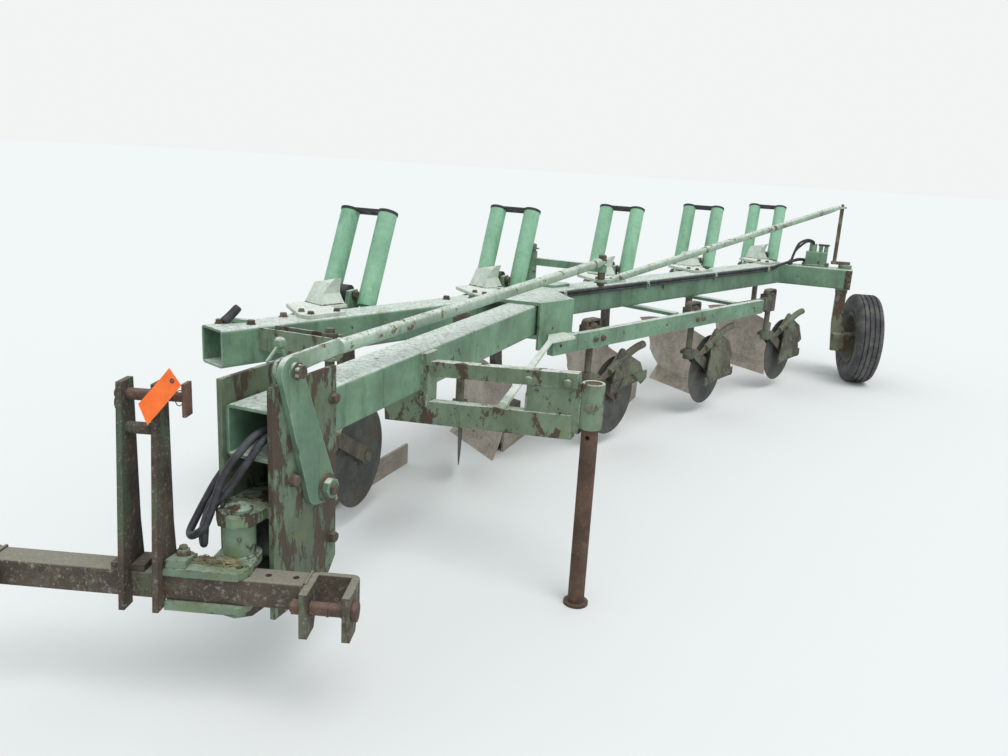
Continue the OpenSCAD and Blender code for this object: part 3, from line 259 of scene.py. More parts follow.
def rusted_steel(name, brown, dark, pale, lichen=None, cover=0.55, runs=0.35, tooth=1.0, crust=0.0,
                 bleach_and_top_light=0.45):
    """Hot-rolled or forged steel left outdoors: brown oxide in layers, dry, pitted and dull.

    Blotches are about 150 mm across and pits 5 to 10 mm; lichen or old paint clings in patches.
    crust is how much of a pale grey crust grows on it, in patches of spots about 6 mm across, and
    the last setting how much paler what faces up is made: partly sun fading, partly a painted
    highlight from above.
    """
    material, shader, node, where = new_finish(name)
    blotches, scale, pits = (node("TexNoise", dict(zip(NOISE, pattern))) for pattern in (
        (where, 6.0, 9.0, 0.66), (where, 44.0, 8.0, 0.75), (where, 140.0, 3.0, 0.6)))
    rounded = node("Bevel", {"Radius": 0.004}, samples=4)
    sky = node("SeparateXYZ", {"Vector": node("NewGeometry", out="Normal")}, out="Z")
    layers = [(blotches, 0.38, 0.62, 1.0, dark), (scale, 0.5, 0.72, 0.6, pale)]
    if lichen:
        falling = node("Mapping", {"Vector": where, "Scale": (1.0, 1.0, runs)})
        clinging = node("TexNoise", {"Vector": falling, "Scale": 7.0, "Detail": 10.0, "Roughness": 0.72})
        layers.append((clinging, cover, cover + 0.08, 0.85, lichen))
    # Paler where it faces up: partly sun fading, partly a painted highlight from above
    layers.append((sky, 0.35, 0.93, bleach_and_top_light, pale))
    if crust:
        spots = node("TexNoise", {"Vector": where, "Scale": 120.0, "Detail": 3.0, "Roughness": 0.6})
        patches = node("MapRange", {"Value": scale, "From Min": 0.46, "From Max": 0.6, "To Max": 0.1})
        layers.append((node("Math", {0: spots, 1: patches}, **PLUS), 0.64, 0.7, crust, "#a39f92"))
    colour = layered(node, brown, layers)
    height = node("Math", {0: scale, 1: pits}, **PLUS)
    lay_on(node, shader, colour, (scale, 0.62, 0.92), (height, 0.45 * tooth, 0.003), (pits, 0.82, 1.15), rounded)
    return material


def scoured_board_steel(name):
    """Soft-centre plough steel, once scoured bright by the soil and now under a thin dry rust.

    The soil's scratches run along the board, 3 to 6 mm apart, and dust dries on it in clouds.
    """
    material, shader, node, where = new_finish(name)
    clouds = node("TexNoise", {"Vector": where, "Scale": 4.5, "Detail": 9.0, "Roughness": 0.68})
    drawn = node("Mapping", {"Vector": where, "Rotation": (0.0, 0.25, 0.6), "Scale": (0.5, 0.12, 1.0)})
    scratches = node("TexNoise", {"Vector": drawn, "Scale": 90.0, "Detail": 6.0, "Roughness": 0.7})
    spots = node("TexNoise", {"Vector": where, "Scale": 60.0, "Detail": 7.0, "Roughness": 0.75})
    colour = layered(node, "#a89f92", [(clouds, 0.36, 0.64, 1.0, "#877e73")])
    colour = layered(node, colour, [(scratches, 0.45, 0.7, 0.55, "#c0b6a9")], {})
    colour = layered(node, colour, [(spots, 0.56, 0.66, 0.6, "#6a5444")])
    shader.inputs["Metallic"].default_value = 0.35
    height = node("Math", {0: scratches, 1: spots}, **PLUS)
    rounded = node("Bevel", {"Radius": 0.002}, samples=4)
    lay_on(node, shader, colour, (clouds, 0.4, 0.68), (height, 0.2, 0.002), round_edges=rounded)
    return material


def sunned_rubber(name, black, dust, relief=0.35, rough=0.8):
    """Vulcanised black rubber, greyed by sun and dusty, with dry soil in patches 60 mm across."""
    material, shader, node, where = new_finish(name)
    patches = node("TexNoise", {"Vector": where, "Scale": 13.0, "Detail": 9.0, "Roughness": 0.7})
    fine = node("TexNoise", {"Vector": where, "Scale": 120.0, "Detail": 5.0, "Roughness": 0.7})
    colour = layered(node, black, [(patches, 0.4, 0.68, 0.8, dust)])
    lay_on(node, shader, colour, (patches, rough - 0.12, rough + 0.1), (fine, relief, 0.0015), (fine, 0.85, 1.15))
    return material


# Sprayed beams: nearly white with chalk on top, still green down the sides
green = sprayed_enamel("weathered_green_enamel", "#789c80", "#5d7a64", "#dfe8df", chips=0.625, chalking=0.95,
                       moss=0.2)
# Brushed-over head plates: thick paint that comes off in long falling flakes
head_green = sprayed_enamel("flaking_green_enamel", "#71876f", "#56634f", "#a8b5a0", rust="#564a3a", chips=0.505,
                            chalking=0.6, moss=0.45, tooth=2.2, fall=0.34)
# Stand arms: knocked by boots and stones, so rust shows in spots all over
arm_green = sprayed_enamel("stand_arm_enamel", "#768a72", "#5c6c56", "#dde3d8", rust="#60503c", chips=0.535,
                           moss=0.4, fall=0.7)
# Draft plates: walked on, damp under the straw, with moss in the pits
plate_green = sprayed_enamel("trodden_green_enamel", "#7a937b", "#5d6f5c", "#aab8a4", chips=0.57, chalking=0.7,
                             moss=0.6, tooth=1.4)
# Drawn tube of the steering rods: chalked all round, with small rust spots
rod_green = sprayed_enamel("chalked_rod_enamel", "#9db39f", "#7f957f", "#dce3da", rust="#7b6959", chips=0.575,
                           algae=0.85, moss=0.3)
# Tail leg: more rust than paint, both weathered to one dull tone
post_green = sprayed_enamel("tail_leg_enamel", "#7b7f69", "#66614f", "#adae9a", rust="#75614c", chips=0.49,
                            moss=0.5, tooth=1.6, fall=0.5)
# Sand-cast clamps: the palest paint, dry and powdery
casting_paint = sprayed_enamel("chalked_casting_paint", "#ccd6c9", "#a9b8a5", "#eaefe6", chips=0.66, algae=0.4)
# Spring tubes: a smooth newer coat, brighter than the beams
tube_green = sprayed_enamel("spring_tube_enamel", "#93c3a2", "#82b090", "#c3d9c5", chips=0.71, chalking=0.6,
                            algae=0.25, tooth=0.5)
# Pressed caps and rollers: dull black with a dusty top
black_enamel = sprayed_enamel("black_enamel", "#2d2f31", "#232426", "#56564f", chips=0.6, chalking=0.5, algae=0.0)
# Rolled crossbar: brown sides spotted with grey crust, and a pale top that is partly sun-faded and partly a
# painted highlight
hitch_steel = rusted_steel("rusted_crossbar_steel", "#594e42", "#423a30", "#9c9a8a", lichen="#5d654f", cover=0.54,
                           crust=0.4, bleach_and_top_light=0.7)
# Flame-cut mast bars: dark, with the last green paint in falling streaks
mast_steel = rusted_steel("rusted_mast_steel", "#54473d", "#382f29", "#7b7365", lichen="#495a44", cover=0.54,
                          runs=0.25, tooth=1.3, crust=0.4)
# Forged standards, shanks and forks: grey-brown and dry
rust_steel = rusted_steel("grey_rusted_steel", "#61584c", "#443e36", "#8b8577", lichen="#636d59", cover=0.52,
                          runs=0.6)
# Headed bolts: a shade browner than what they hold
bolt_steel = rusted_steel("brown_rusted_bolt_steel", "#5b4e42", "#403830", "#8b8374", lichen="#6d7863", cover=0.5)
# Rolled tube of the stand's leg: warm brown from end to end
leg_steel = rusted_steel("rusted_leg_tube", "#5e4737", "#423227", "#77644f", lichen="#56604a", cover=0.64)
# Turned pins: an even red rust with no paint left
pin_steel = rusted_steel("red_rusted_pin_steel", "#6f5246", "#4f3b33", "#917c6f")
# Pressed jointers: rust under thin moss
jointer_steel = rusted_steel("mossy_jointer_steel", "#5b584a", "#3f3f36", "#7f7c6b", lichen="#66705a", cover=0.48,
                             runs=0.6, crust=0.3)
# Rolled coulter discs: slate grey where the soil kept them clean, brown in patches
disc_steel = rusted_steel("slate_rusted_disc_steel", "#50544e", "#383b36", "#6b6257", lichen="#5a473a", cover=0.56,
                          runs=1.0)
board_steel = scoured_board_steel("scoured_board_steel")
# Moulded tyre: grey and dry. Extruded hose: smoother and darker
tyre_rubber = sunned_rubber("sunned_tyre_rubber", "#3b3f40", "#6e6d66")
hose_rubber = sunned_rubber("sunned_hose_rubber", "#26282c", "#55575a", relief=0.15, rough=0.55)

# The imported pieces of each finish, numbered ones under one name. The rest are green
PIECES_OF = (
    (head_green, "head_plates pivot_bearings"), (plate_green, "draft_plates"), (post_green, "tail_post"),
    (arm_green, "stand_arms front_coulter_arm"), (rod_green, "front_rod rear_rod"), (tube_green, "reset_tubes"),
    (casting_paint, "clamp_castings stand_brace"), (black_enamel, "tube_caps toggle_rollers"),
    (rust_steel, "coulter_clamps coulter_shanks coulter_fork standards frogs trunnions tail_rim"),
    (board_steel, "mouldboards shares landsides"), (disc_steel, "coulter_disc"), (leg_steel, "stand_leg"),
    (hitch_steel, "crossbar clevises"), (mast_steel, "mast"), (pin_steel, "draft_pins top_link_pin"),
    (tyre_rubber, "tail_tyre"), (hose_rubber, "head_hoses beam_hoses"))
finish_of = {name: finish for finish, names in PIECES_OF for name in names.split()}
for name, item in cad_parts.items():
    item.data.materials.clear()
    item.data.materials.append(finish_of.get(name.rstrip("_12345"), green))


# ---- surfaces
def quads_between(rows, cols):
    """Corner numbers of the quads of a grid whose columns close on themselves, row by row."""
    r, c = np.meshgrid(np.arange(rows - 1), np.arange(cols), indexing="ij")
    beside = (c + 1) % cols
    corners = [r * cols + c, r * cols + beside, (r + 1) * cols + beside, (r + 1) * cols + c]
    return np.stack(corners, -1).reshape(-1, 4)


def put_in(name, data):
    """A new object in the scene that holds the data."""
    item = bpy.data.objects.new(name, data)
    bpy.context.scene.collection.objects.link(item)
    return item


def piece(name, grids, finish, body, slot, crease=35.0):
    """Joins grids of points, each (copies, rows, columns, 3) in mm, into one piece.

    Columns close on themselves. A row whose points all meet in one closes the end, and points
    that meet are merged.
    """
    points, faces, count = [], [], 0
    for grid in grids:
        grid = np.asarray(grid, float)
        grid = grid if grid.ndim == 4 else grid[None]
        copies, rows, cols, _ = grid.shape
        step = np.arange(copies)[:, None, None] * rows * cols
        faces.append((quads_between(rows, cols)[None] + step + count).reshape(-1, 4))
        points.append(metres(grid.reshape(-1, 3)))
        count += copies * rows * cols
    mesh = bpy.data.meshes.new(name)
    mesh.from_pydata(np.concatenate(points), [], np.concatenate(faces))
    work = bmesh.new()
    work.from_mesh(mesh)
    bmesh.ops.remove_doubles(work, verts=work.verts, dist=2e-6)
    bmesh.ops.dissolve_degenerate(work, edges=work.edges, dist=1e-7)
    bmesh.ops.recalc_face_normals(work, faces=work.faces)
    work.to_mesh(mesh)
    work.free()
    mesh.shade_smooth()
    mesh.set_sharp_from_angle(angle=math.radians(crease))
    mesh.materials.append(finish)
    item = put_in(name, mesh)
    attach(item, body)
    return item


def stood_on(shape, places, axes, spins=0.0):
    """Copies of a shape drawn about Z, each stood at its place with Z along its axis.

    The side direction is the cross product of the axis with whichever of X and Z is less
    parallel to it, and the shape is first spun about Z.
    """
    places, axes = np.atleast_2d(places), np.atleast_2d(axes)
    axes = np.broadcast_to(axes, places.shape).astype(float)
    axes = axes / np.linalg.norm(axes, axis=1, keepdims=True)
    helper = np.where(np.abs(axes[:, 2:3]) > 0.8, [LEFT], [UP])
    side = np.cross(helper, axes)
    side /= np.linalg.norm(side, axis=1, keepdims=True)
    other = np.cross(axes, side)
    spins = np.broadcast_to(np.asarray(spins, float), (len(places),))[:, None, None, None]
    x, y, z = shape[None, ..., 0:1], shape[None, ..., 1:2], shape[None, ..., 2:3]
    x, y = x * np.cos(spins) - y * np.sin(spins), x * np.sin(spins) + y * np.cos(spins)
    places, side, other, axes = (v[:, None, None, :] for v in (places, side, other, axes))
    return places + x * side + y * other + z * axes


def turned(profile, columns=24, flats=0):
    """A profile of (radius, height) turned about Z.

    With flats, a radius given as negative is the half width of a polygon with that many
    flats: at each angle the radius is that over the cosine of the angle from the nearest flat.
    """
    profile = np.asarray(profile, float)
    angle = np.arange(columns) * 2 * np.pi / columns
    radius = np.abs(profile[:, :1]) * np.ones(columns)
    if flats:
        sector = 2 * np.pi / flats
        from_flat = np.mod(angle + sector / 2, sector) - sector / 2
        radius = np.where(profile[:, :1] < 0, radius / np.cos(from_flat), radius)
    height = profile[:, 1:] * np.ones(columns)
    return np.stack([radius * np.cos(angle), radius * np.sin(angle), height], -1)


def hex_head(across, high, washer=1.75):
    """A hexagon head with a chamfered top on a round washer that sinks 1 mm into what it is on."""
    rim, flat = across * washer / 2, across / 2
    return turned([(0, -1), (rim, -1), (rim, 2.2), (rim * 0.95, 3), (-flat, 3), (-flat, high - 2),
                   (flat * 0.97, high), (0, high)], 24, 6)


def hex_nut(across, high, thread, proud=9):
    """A hexagon nut on a washer, with the bolt's end standing out of it."""
    rim, flat, end = across * 0.875, across / 2, high + proud
    return turned([(0, -1), (rim, -1), (rim, 2.2), (rim * 0.95, 3), (flat * 0.96, 3), (-flat, 4.5),
                   (-flat, high - 1.5), (flat * 0.96, high), (thread / 2, high), (thread / 2, end - 1.5),
                   (thread / 2 - 1.5, end), (0, end)], 24, 6)


def round_head(dia, high):
    """A coach bolt's round head: a part of a sphere on a short rim."""
    lift = np.linspace(0, np.pi / 2, 6)
    dome = [(dia / 2 * math.cos(t), 2 + (high - 2) * math.sin(t)) for t in lift]
    return turned([(0, -1), (dia / 2, -1), *dome[:-1], (0, high)], 24)


def smooth_route(points, per_span=8):
    """Points on a smooth curve through the given ones: each span is a cubic whose slope at a
    point is half the way from the point before to the point after."""
    p = np.asarray(points, float)
    p = np.concatenate([2 * p[:1] - p[1:2], p, 2 * p[-1:] - p[-2:-1]])
    t = np.arange(per_span)[:, None] / per_span
    a, b, c, d = p[:-3, None], p[1:-2, None], p[2:-1, None], p[3:, None]
    curve = 0.5 * (2 * b + t * (c - a) + t ** 2 * (2 * a - 5 * b + 4 * c - d) + t ** 3 * (3 * b - a - 3 * c + d))
    return np.concatenate([curve.reshape(-1, 3), p[-2:-1]])


def gathered(rows):
    """Rows of points with both ends closed, by gathering each end row in its middle."""
    first, last = (rows[k:k + 1 or None].mean(1, keepdims=True).repeat(rows.shape[1], 1) for k in (0, -1))
    return np.concatenate([first, rows, last])


def carried(route, radius, sides=12):
    """A round section carried along a route, closed at both ends.

    The section lies across the route's direction, and starts from the cross product of that with
    a slanting direction that no route here takes. radius is one number or one for each point.
    """
    route = np.asarray(route, float)
    way = np.gradient(route, axis=0)
    way /= np.linalg.norm(way, axis=1, keepdims=True)
    side = np.cross(way, (0.31, -0.17, 1.0))
    side /= np.linalg.norm(side, axis=1, keepdims=True)
    other = np.cross(side, way)
    radius = np.broadcast_to(np.asarray(radius, float), (len(route),))[:, None, None]
    angle = (np.arange(sides) * 2 * np.pi / sides)[None, :, None]
    return gathered(route[:, None] + radius * (np.cos(angle) * side[:, None] + np.sin(angle) * other[:, None]))


def weld_bead(ends, width, seed):
    """A hand-laid fillet weld between two places: a half-sunk round bead whose radius swells and
    shrinks with each dab of the electrode, about every 6 mm."""
    a, b = np.asarray(ends, float)
    length = np.linalg.norm(b - a)
    s = np.linspace(0, 1, max(6, int(length / 2.5)))
    wander = np.random.default_rng(seed).normal(0, 0.06, len(s))
    radius = width / 2 * (1 + 0.12 * np.sin(s * length / 6 * 2 * np.pi) + wander)
    return carried(a + s[:, None] * (b - a), radius, 8)


def slab(outline, low, high):
    """A flat plate whose outline is star-shaped about its middle, between two heights."""
    line = np.asarray(outline, float)
    return gathered(np.stack([np.concatenate([line, np.full((len(line), 1), z)], 1) for z in (low, high)]))


# ---- bolts on the frame
RUSTY = (bolt_steel, "frame", "rusty_iron")
CASTING_TOP = BEAM_SIZE + 16.3
casting_bolts = [on_beam(out, run + BOTTOM_STEP * i, CASTING_TOP)
                 for i in range(BOTTOMS) for out, run in ((-110, 430), (-42, 430), (-42, 562))]
piece("casting_bolts", [stood_on(hex_head(23, 12, 1.35), casting_bolts, UP, np.arange(15) * 0.7)], *RUSTY)

beam_bolts = [on_beam(out, run, BEAM_SIZE)
              for out, run in ((-132, 66), (-52, 157), (-120, 349), (-100, 1262), (-60, 1400))]
piece("beam_bolts", [stood_on(hex_head(28, 17, 1.4), beam_bolts, UP, np.arange(5) * 1.1)], *RUSTY)

head_bolts = [(90, 320, 843), (90, 315, 398), (90, 120, 650)]
piece("head_bolts", [stood_on(hex_head(30, 19, 1.35), head_bolts, LEFT, np.arange(3) * 0.8)], *RUSTY)

arm_bolts = [(478, 952.5, 812), (620, 952.5, 822)]
piece("stand_arm_bolts", [stood_on(round_head(32, 11), arm_bolts, AHEAD)], arm_green, "frame", "green_paint")
piece("stand_sleeve_bolt", [stood_on(round_head(34, 12), [(706, 935.5, 752)], AHEAD)], *RUSTY)

splice_bolts = [on_beam(282.5, 1660, -52), on_beam(282.5, 1585, -52)]
bar_bolts = [on_beam(BAR_OUT + 38.3, BOTTOM_STEP * i - COULTER_AHEAD + y, -55) for i in (2, 3) for y in (-34, 34)]
piece("coulter_bar_bolts", [stood_on(round_head(34, 12), splice_bolts, OUTWARD),
                            stood_on(round_head(34, 14), bar_bolts, OUTWARD)], *RUSTY)

UNIT_SIDES = [(i, side) for i in range(BOTTOMS) for side in (-1, 1)]
shaft_nuts = [shaft(i) + side * 134 * LEFT for i, side in UNIT_SIDES]
roller_pins = [shaft(i) + side * 56 * LEFT + 105 * UP for i, side in UNIT_SIDES]
shaft_ways = [side * LEFT for _, side in UNIT_SIDES]
piece("shaft_nuts", [stood_on(hex_nut(44, 20, 24, 6), shaft_nuts, shaft_ways, np.arange(10) * 0.5),
                     stood_on(hex_head(34, 14, 1.3), roller_pins, shaft_ways, np.arange(10) * 0.8)], *RUSTY)

idler_base = IDLER_JOINT - IDLER_ARM * np.array([math.cos(IDLER_ANGLE), math.sin(IDLER_ANGLE), 0])
piece("idler_post_nut", [stood_on(hex_nut(46, 26, 28, 3), [idler_base + 34.5 * UP], UP)], *RUSTY)
pin_top = turned([(0, 9), (26, 9), (26, 13), (21, 14), (22, 32), (19, 37), (0, 38)], 28)
pin_collar = turned([(0, -96), (19, -96), (21, -93), (21, -61), (19, -58), (0, -58)], 28)
piece("idler_pin_stack", [stood_on(pin_top, [IDLER_JOINT], UP), stood_on(pin_collar, [IDLER_JOINT], UP),
                          stood_on(hex_nut(40, 18, 22, 9), [IDLER_JOINT - 113 * UP], -UP, 0.4)],
      bolt_steel, "idler", "rusty_iron")
boss_washer = turned([(0, -1), (43, -1), (43, 4), (41, 5), (17, 5), (0, 5)], 32)
boss_pin = turned([(0, -1), (19, -1), (19, 6), (17, 8), (0, 8)], 24)
piece("lever_boss_washer", [stood_on(boss_washer, [(109, 262, 583)], LEFT),
                            stood_on(boss_pin, [(133, 262, 583)], LEFT)], bolt_steel, "lever", "rusty_iron")
piece("rod_pin_head", [stood_on(hex_head(36, 18, 1.4), [(LEVER_FACE + 30, 106, 973)], LEFT, 0.3)],
      bolt_steel, "front_rod", "rusty_iron")

# Grease nipples: a hexagon with a short stem and a ball
nipple = turned([(0, -1), (-6, -1), (-6, 5), (3, 6), (3, 10), (4.4, 12), (4.4, 14), (2.5, 16), (0, 16)], 12, 6)
unit_nipples = [shaft(i) + [side * 101.5, -30.5, 28.5] for i, side in UNIT_SIDES]
piece("frame_nipples", [stood_on(nipple, unit_nipples, (0, -0.72, 0.68)),
                        stood_on(nipple, [idler_base + [24.0, -17.5, -90.0]], (0.8, -0.6, 0))], *RUSTY)
piece("sleeve_nipple", [stood_on(nipple, on_hitch([(16.0, -42.0, 520.0)]), on_hitch([(0.36, -0.93, 0.0)]))],
      bolt_steel, "hitch", "rusty_iron")

# ---- linkage and tail
# The rear rod's tube, with its ends stepped down to the rod: shares of the way and radii along it
ROD_FRONT = IDLER_JOINT + [36, 76, -104]
REAR_JOINT = np.array([TAIL_POST[0] - CRANK * math.cos(math.radians(WHEEL_TURN)),
                       TAIL_POST[1] - CRANK * math.sin(math.radians(WHEEL_TURN)), 1322])
rod_way = REAR_JOINT + [-24, -55, 0] - ROD_FRONT
rod_steps = np.array([0.012, 0.014, 0.03, 0.035, 0.2, 0.4, 0.6, 0.8, 0.95, 0.955, 0.975, 0.977])[:, None]
rod_radius = np.array([15.5, 19, 20, 21, 21, 21, 21, 21, 21, 20, 19, 15.5])
piece("rear_rod_tube", [carried(ROD_FRONT + rod_steps * rod_way, rod_radius, 24)], rod_green, "rear_rod",
      "green_paint")

TAIL_END = np.array([1468, 5229.8, 791])
end_plate = slab([(-22, -70), (22, -70), (22, 70), (-22, 70)], 0, 5)
piece("tail_end_plate", [TAIL_END + end_plate[..., [0, 2, 1]] * [1, -1, 1]], hitch_steel, "frame", "rusty_iron")
piece("tail_end_bolts", [stood_on(hex_head(26, 14, 1.4), [(TAIL_END[0], 5225, z) for z in (740, 791, 842)], AHEAD,
                                  np.arange(3) * 0.6)], *RUSTY)
grip = smooth_route([on_beam(*place) for place in ((-118, 74, 158), (-116, 92, 170), (-113, 114, 189),
                                                   (-110, 138, 212))], 6)
grip_radius = 17.5 - 3.5 * np.abs(np.linspace(-1, 1, len(grip))) ** 12
piece("beam_grip", [carried(grip, grip_radius, 18)], hose_rubber, "frame", "hose_rubber", 50)

# ---- coulters
rivet = turned([(0, 2), (8, 2), (7, 7), (4, 9), (0, 9)], 10)
ring = np.arange(4) * np.pi / 2 + 0.4
rivets = DISC_PLACE + np.stack([np.zeros(4), 46 * np.cos(ring), 46 * np.sin(ring)], -1)
for i in range(BOTTOMS):
    nuts = [stood_on(hex_nut(36, 19, 22, 4), at_coulter(i, [DISC_PLACE + side * 31 * LEFT]), coulter_side(i, side))
            for side in (-1, 1)]
    nuts += [stood_on(rivet, at_coulter(i, rivets), coulter_side(i, side)) for side in (-1, 1)]
    piece("disc_nuts_%d" % (i + 1), nuts, bolt_steel, "coulter_disc_%d" % (i + 1), "rusty_iron")
    set_screws = at_coulter(i, [(-32, 0, 436), (-35, 28, 436)])
    piece("hub_screws_%d" % (i + 1), [stood_on(hex_head(24, 20, 1.2), set_screws, coulter_side(i, -1))],
          bolt_steel, "coulter_fork_%d" % (i + 1), "rusty_iron")


def jointer_board(drop, spread):
    """The jointer's small mouldboard, beside the rear half of its disc, in the fork's own frame.

    v runs down it by drop in mm and u across it from the front edge to the rear one. Its edges
    lean apart going down, the rear one by spread. It stands further from the disc by 20 mm times
    v, by 44 mm times u squared where it turns the soil, and by a bulge of 10 mm across its middle.
    """
    v = np.linspace(0, 1, 19)[:, None]
    u = np.concatenate([np.linspace(0, 1, 15), np.linspace(1, 0, 15)])[None]
    back = np.where(np.arange(30) < 15, 0.0, 8.0)[None]
    round_top = 74 * (1 - v) ** 3 * (2 * u - 1) ** 2
    front, rear = 212 - 70 * v ** 1.3, 340 + spread * v ** 0.8
    trail = front + (rear - front) * u
    high = 566 - round_top - (drop - 46 * u) * v
    off = 45 + 20 * np.minimum(1, 2.2 * v) + 44 * u ** 2 * v ** 0.7 + 10 * np.sin(np.pi * u) * v - back
    return gathered(np.stack([off, trail, high], -1))


def jointer_share(drop, spread):
    """The cutting strip bolted along the board's lower edge, 12 mm thick and bevelled below."""
    s = np.linspace(0, 1, 12)[:, None]
    across = np.array([(0, 0), (0, 46), (10, 50), (12, 6), (6, -8)], float)
    off = 60 + 44 * s ** 2 + across[None, :, 0]
    trail = 138 + (204 + spread) * s + 0 * off
    high = 564 - drop + 44 * s + across[None, :, 1]
    return gathered(np.stack([off, trail, high], -1))


jointer_arm = carried(smooth_route([(40, 150, 452), (44, 250, 500), (46, 400, 548), (46, 490, 562)], 6), 22, 16)
for i, drop, spread in ((2, 225, 100), (3, 350, 80), (4, 350, 35)):
    sheets = [at_coulter(i, shape) for shape in (jointer_board(drop, spread), jointer_share(drop, spread),
                                                 jointer_arm)]
    bolts = stood_on(round_head(26, 9), at_coulter(i, [(66, 236, 470), (70, 290, 430)]), coulter_side(i, 1))
    piece("jointer_%d" % (i + 1), sheets + [bolts], jointer_steel, "coulter_fork_%d" % (i + 1), "rusty_iron", 45)


# ---- plough bolts in the boards and shares
def board_point(u, v):
    """The mouldboard's face as its source gives it: u runs along the board, v up it.

    A row across starts at the shin and runs back and out; its height is v times 320 mm and a
    swell of 75 mm, its lower wing lifts with the square of u past 0.65, and its top leans over.
    """
    return np.stack([-12 - 470 * u - 90 * u * v * v,
                     105 + 520 * u + (1 - u) * 150 * np.sin(v * np.pi / 2) - 60 * u * v * v,
                     52 + 900 * np.maximum(0, u - 0.65) ** 2 * (1 - v)
                     + v * (320 + 75 * np.sin(u * np.pi * 150 / 180))], -1)


def bottom_origin(i):
    """Where a bottom's own drawing stands: under its unit's tubes, on the ground."""
    x, y, z = tube_head(i)
    return np.array([x + 185.0, y - (z - 866) * math.tan(TUBE_LEAN) - 430.0, 0.0])


board_u, board_v = np.array([(0.07, 0.12), (0.07, 0.45), (0.07, 0.75), (0.25, 0.14), (0.28, 0.5)]).T
board_face = board_point(board_u, board_v)
board_out = np.cross(board_point(board_u + 0.01, board_v) - board_face,
                     board_point(board_u, board_v + 0.01) - board_face)
board_out *= -np.sign(board_out[:, 1:2]) / np.linalg.norm(board_out, axis=1, keepdims=True)
share_run, share_up = np.array([(0.2, 0.62), (0.42, 0.62), (0.64, 0.62)]).T[..., None]
cutting_edge = share_run * [[-SHARE_CUT, 330.0, 0.0]]
share_seat = board_point(0.8 * share_run[:, 0], 0 * share_run[:, 0])
share_face = cutting_edge + share_up * (share_seat - cutting_edge)
flush = turned([(0, -3), (11.5, -3), (11, 1.2), (9.5, 1.8), (0, 2.2)], 14)
piece("plough_bolts", [stood_on(flush, face + bottom_origin(i), way)
                       for face, way in ((board_face, board_out), (share_face, (-0.55, -0.52, 0.65)))
                       for i in range(BOTTOMS)], board_steel, "frame", "worn_steel")

# ---- hoses
HOSE = (hose_rubber, "frame", "hose_rubber", 60)
# Two pressure hoses hang in a loop from the main beam's open front and run back along its side
HOSE_1 = [(38, 130, 802), (28, 48, 796), (1, 10, 751), (-15, -4, 725), (-34, -26, 674), (-42, -44, 625),
          (-52, -56, 581), (-66, -66, 543), (-104, -66, 513), (-136, -40, 509), (-141, -10, 535), (-130, 20, 584),
          (-120, 60, 635), (-110, 130, 690), (-103.2, 220, 735), (-103.2, 300, 750)]
HOSE_2 = [(50, 130, 786), (52, 48, 784), (22, 18, 726), (-20, -6, 652), (-56, -30, 600), (-73, -45, 563),
          (-77, -49, 521), (-82, -48, 486), (-96, -36, 510), (-99, -20, 545), (-103, 20, 590), (-103.2, 90, 620),
          (-103.2, 200, 655), (-103.2, 300, 670)]
hose_runs = [smooth_route(points) for points in (HOSE_1, HOSE_2)]
hoses = piece("draped_hoses", [carried(run, 11.0, 18) for run in hose_runs], *HOSE)
crimp_nut = turned([(0, 0), (-13, 0), (-13, 15), (-11, 17), (0, 17)], 24, 6)
end_block = turned([(0, 0), (-17, 0), (-17, 26), (-15, 27.7), (0, 27.7)], 16, 4)
crimps = []
for run in hose_runs:
    tail = run[-7:]
    swell = 13.5 + 0.9 * np.cos(np.arange(len(tail)) * np.pi)
    crimps += [carried(tail, swell, 18), stood_on(crimp_nut, [tail[-1] + 26 * AHEAD], -AHEAD)]
end_blocks = stood_on(end_block, [(-90.5, 300, z) for z in (750, 670)], -LEFT)
fittings = piece("hose_fittings", crimps + [end_blocks], bolt_steel, "frame", "worn_steel")
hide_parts("head_hoses")
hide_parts("head_hoses")

# Two more run along the main beam's left side, under clips, to the valve block
VALVE = np.array([1124.0, 5230.0, 0.0])  # its corner, seen from above
CLIP_RUNS = (2040, 2860, 3700, 4500)
beam_runs = []
for drop in (14, 33):
    straight = [on_beam(9, run, BEAM_SIZE - drop) for run in (2010, 2700, 3400, 4100, 4560)]
    bend = [on_beam(20, 4680, BEAM_SIZE + 6 - drop / 3), VALVE + [-60, 6 + drop, 912 - drop / 2],
            VALVE + [-25, 54 + drop, 918 - drop / 2], VALVE + [13, 56 + drop, 918 - drop / 2]]
    beam_runs.append(smooth_route(straight + bend, 10))
long_hoses = piece("beam_hose_pair", [carried(run, 8.0, 14) for run in beam_runs], *HOSE)
# A clip is a box with corners rounded by 6 mm, drawn across the beam
quarter = np.linspace(0, np.pi / 2, 5)
corners = [(13, 16), (6.3, 16), (6.3, -16), (13, -16)]
round_box = np.concatenate([
    np.stack([x + 6 * np.cos(quarter + k * np.pi / 2), y + 6 * np.sin(quarter + k * np.pi / 2)], -1)
    for k, (x, y) in enumerate(corners)])
clip = slab(round_box, 0, 26) @ np.stack([OUTWARD, UP, ALONG])
clips = np.stack([on_beam(0, run, 122) + clip for run in CLIP_RUNS])
clip_bolts = stood_on(hex_head(14, 7, 1.4), [on_beam(19, run + 13, 122) for run in CLIP_RUNS], OUTWARD)
hose_clips = piece("beam_hose_clips", [clips, clip_bolts], green, "frame", "green_paint")
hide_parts("beam_hoses")
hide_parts("beam_hoses")

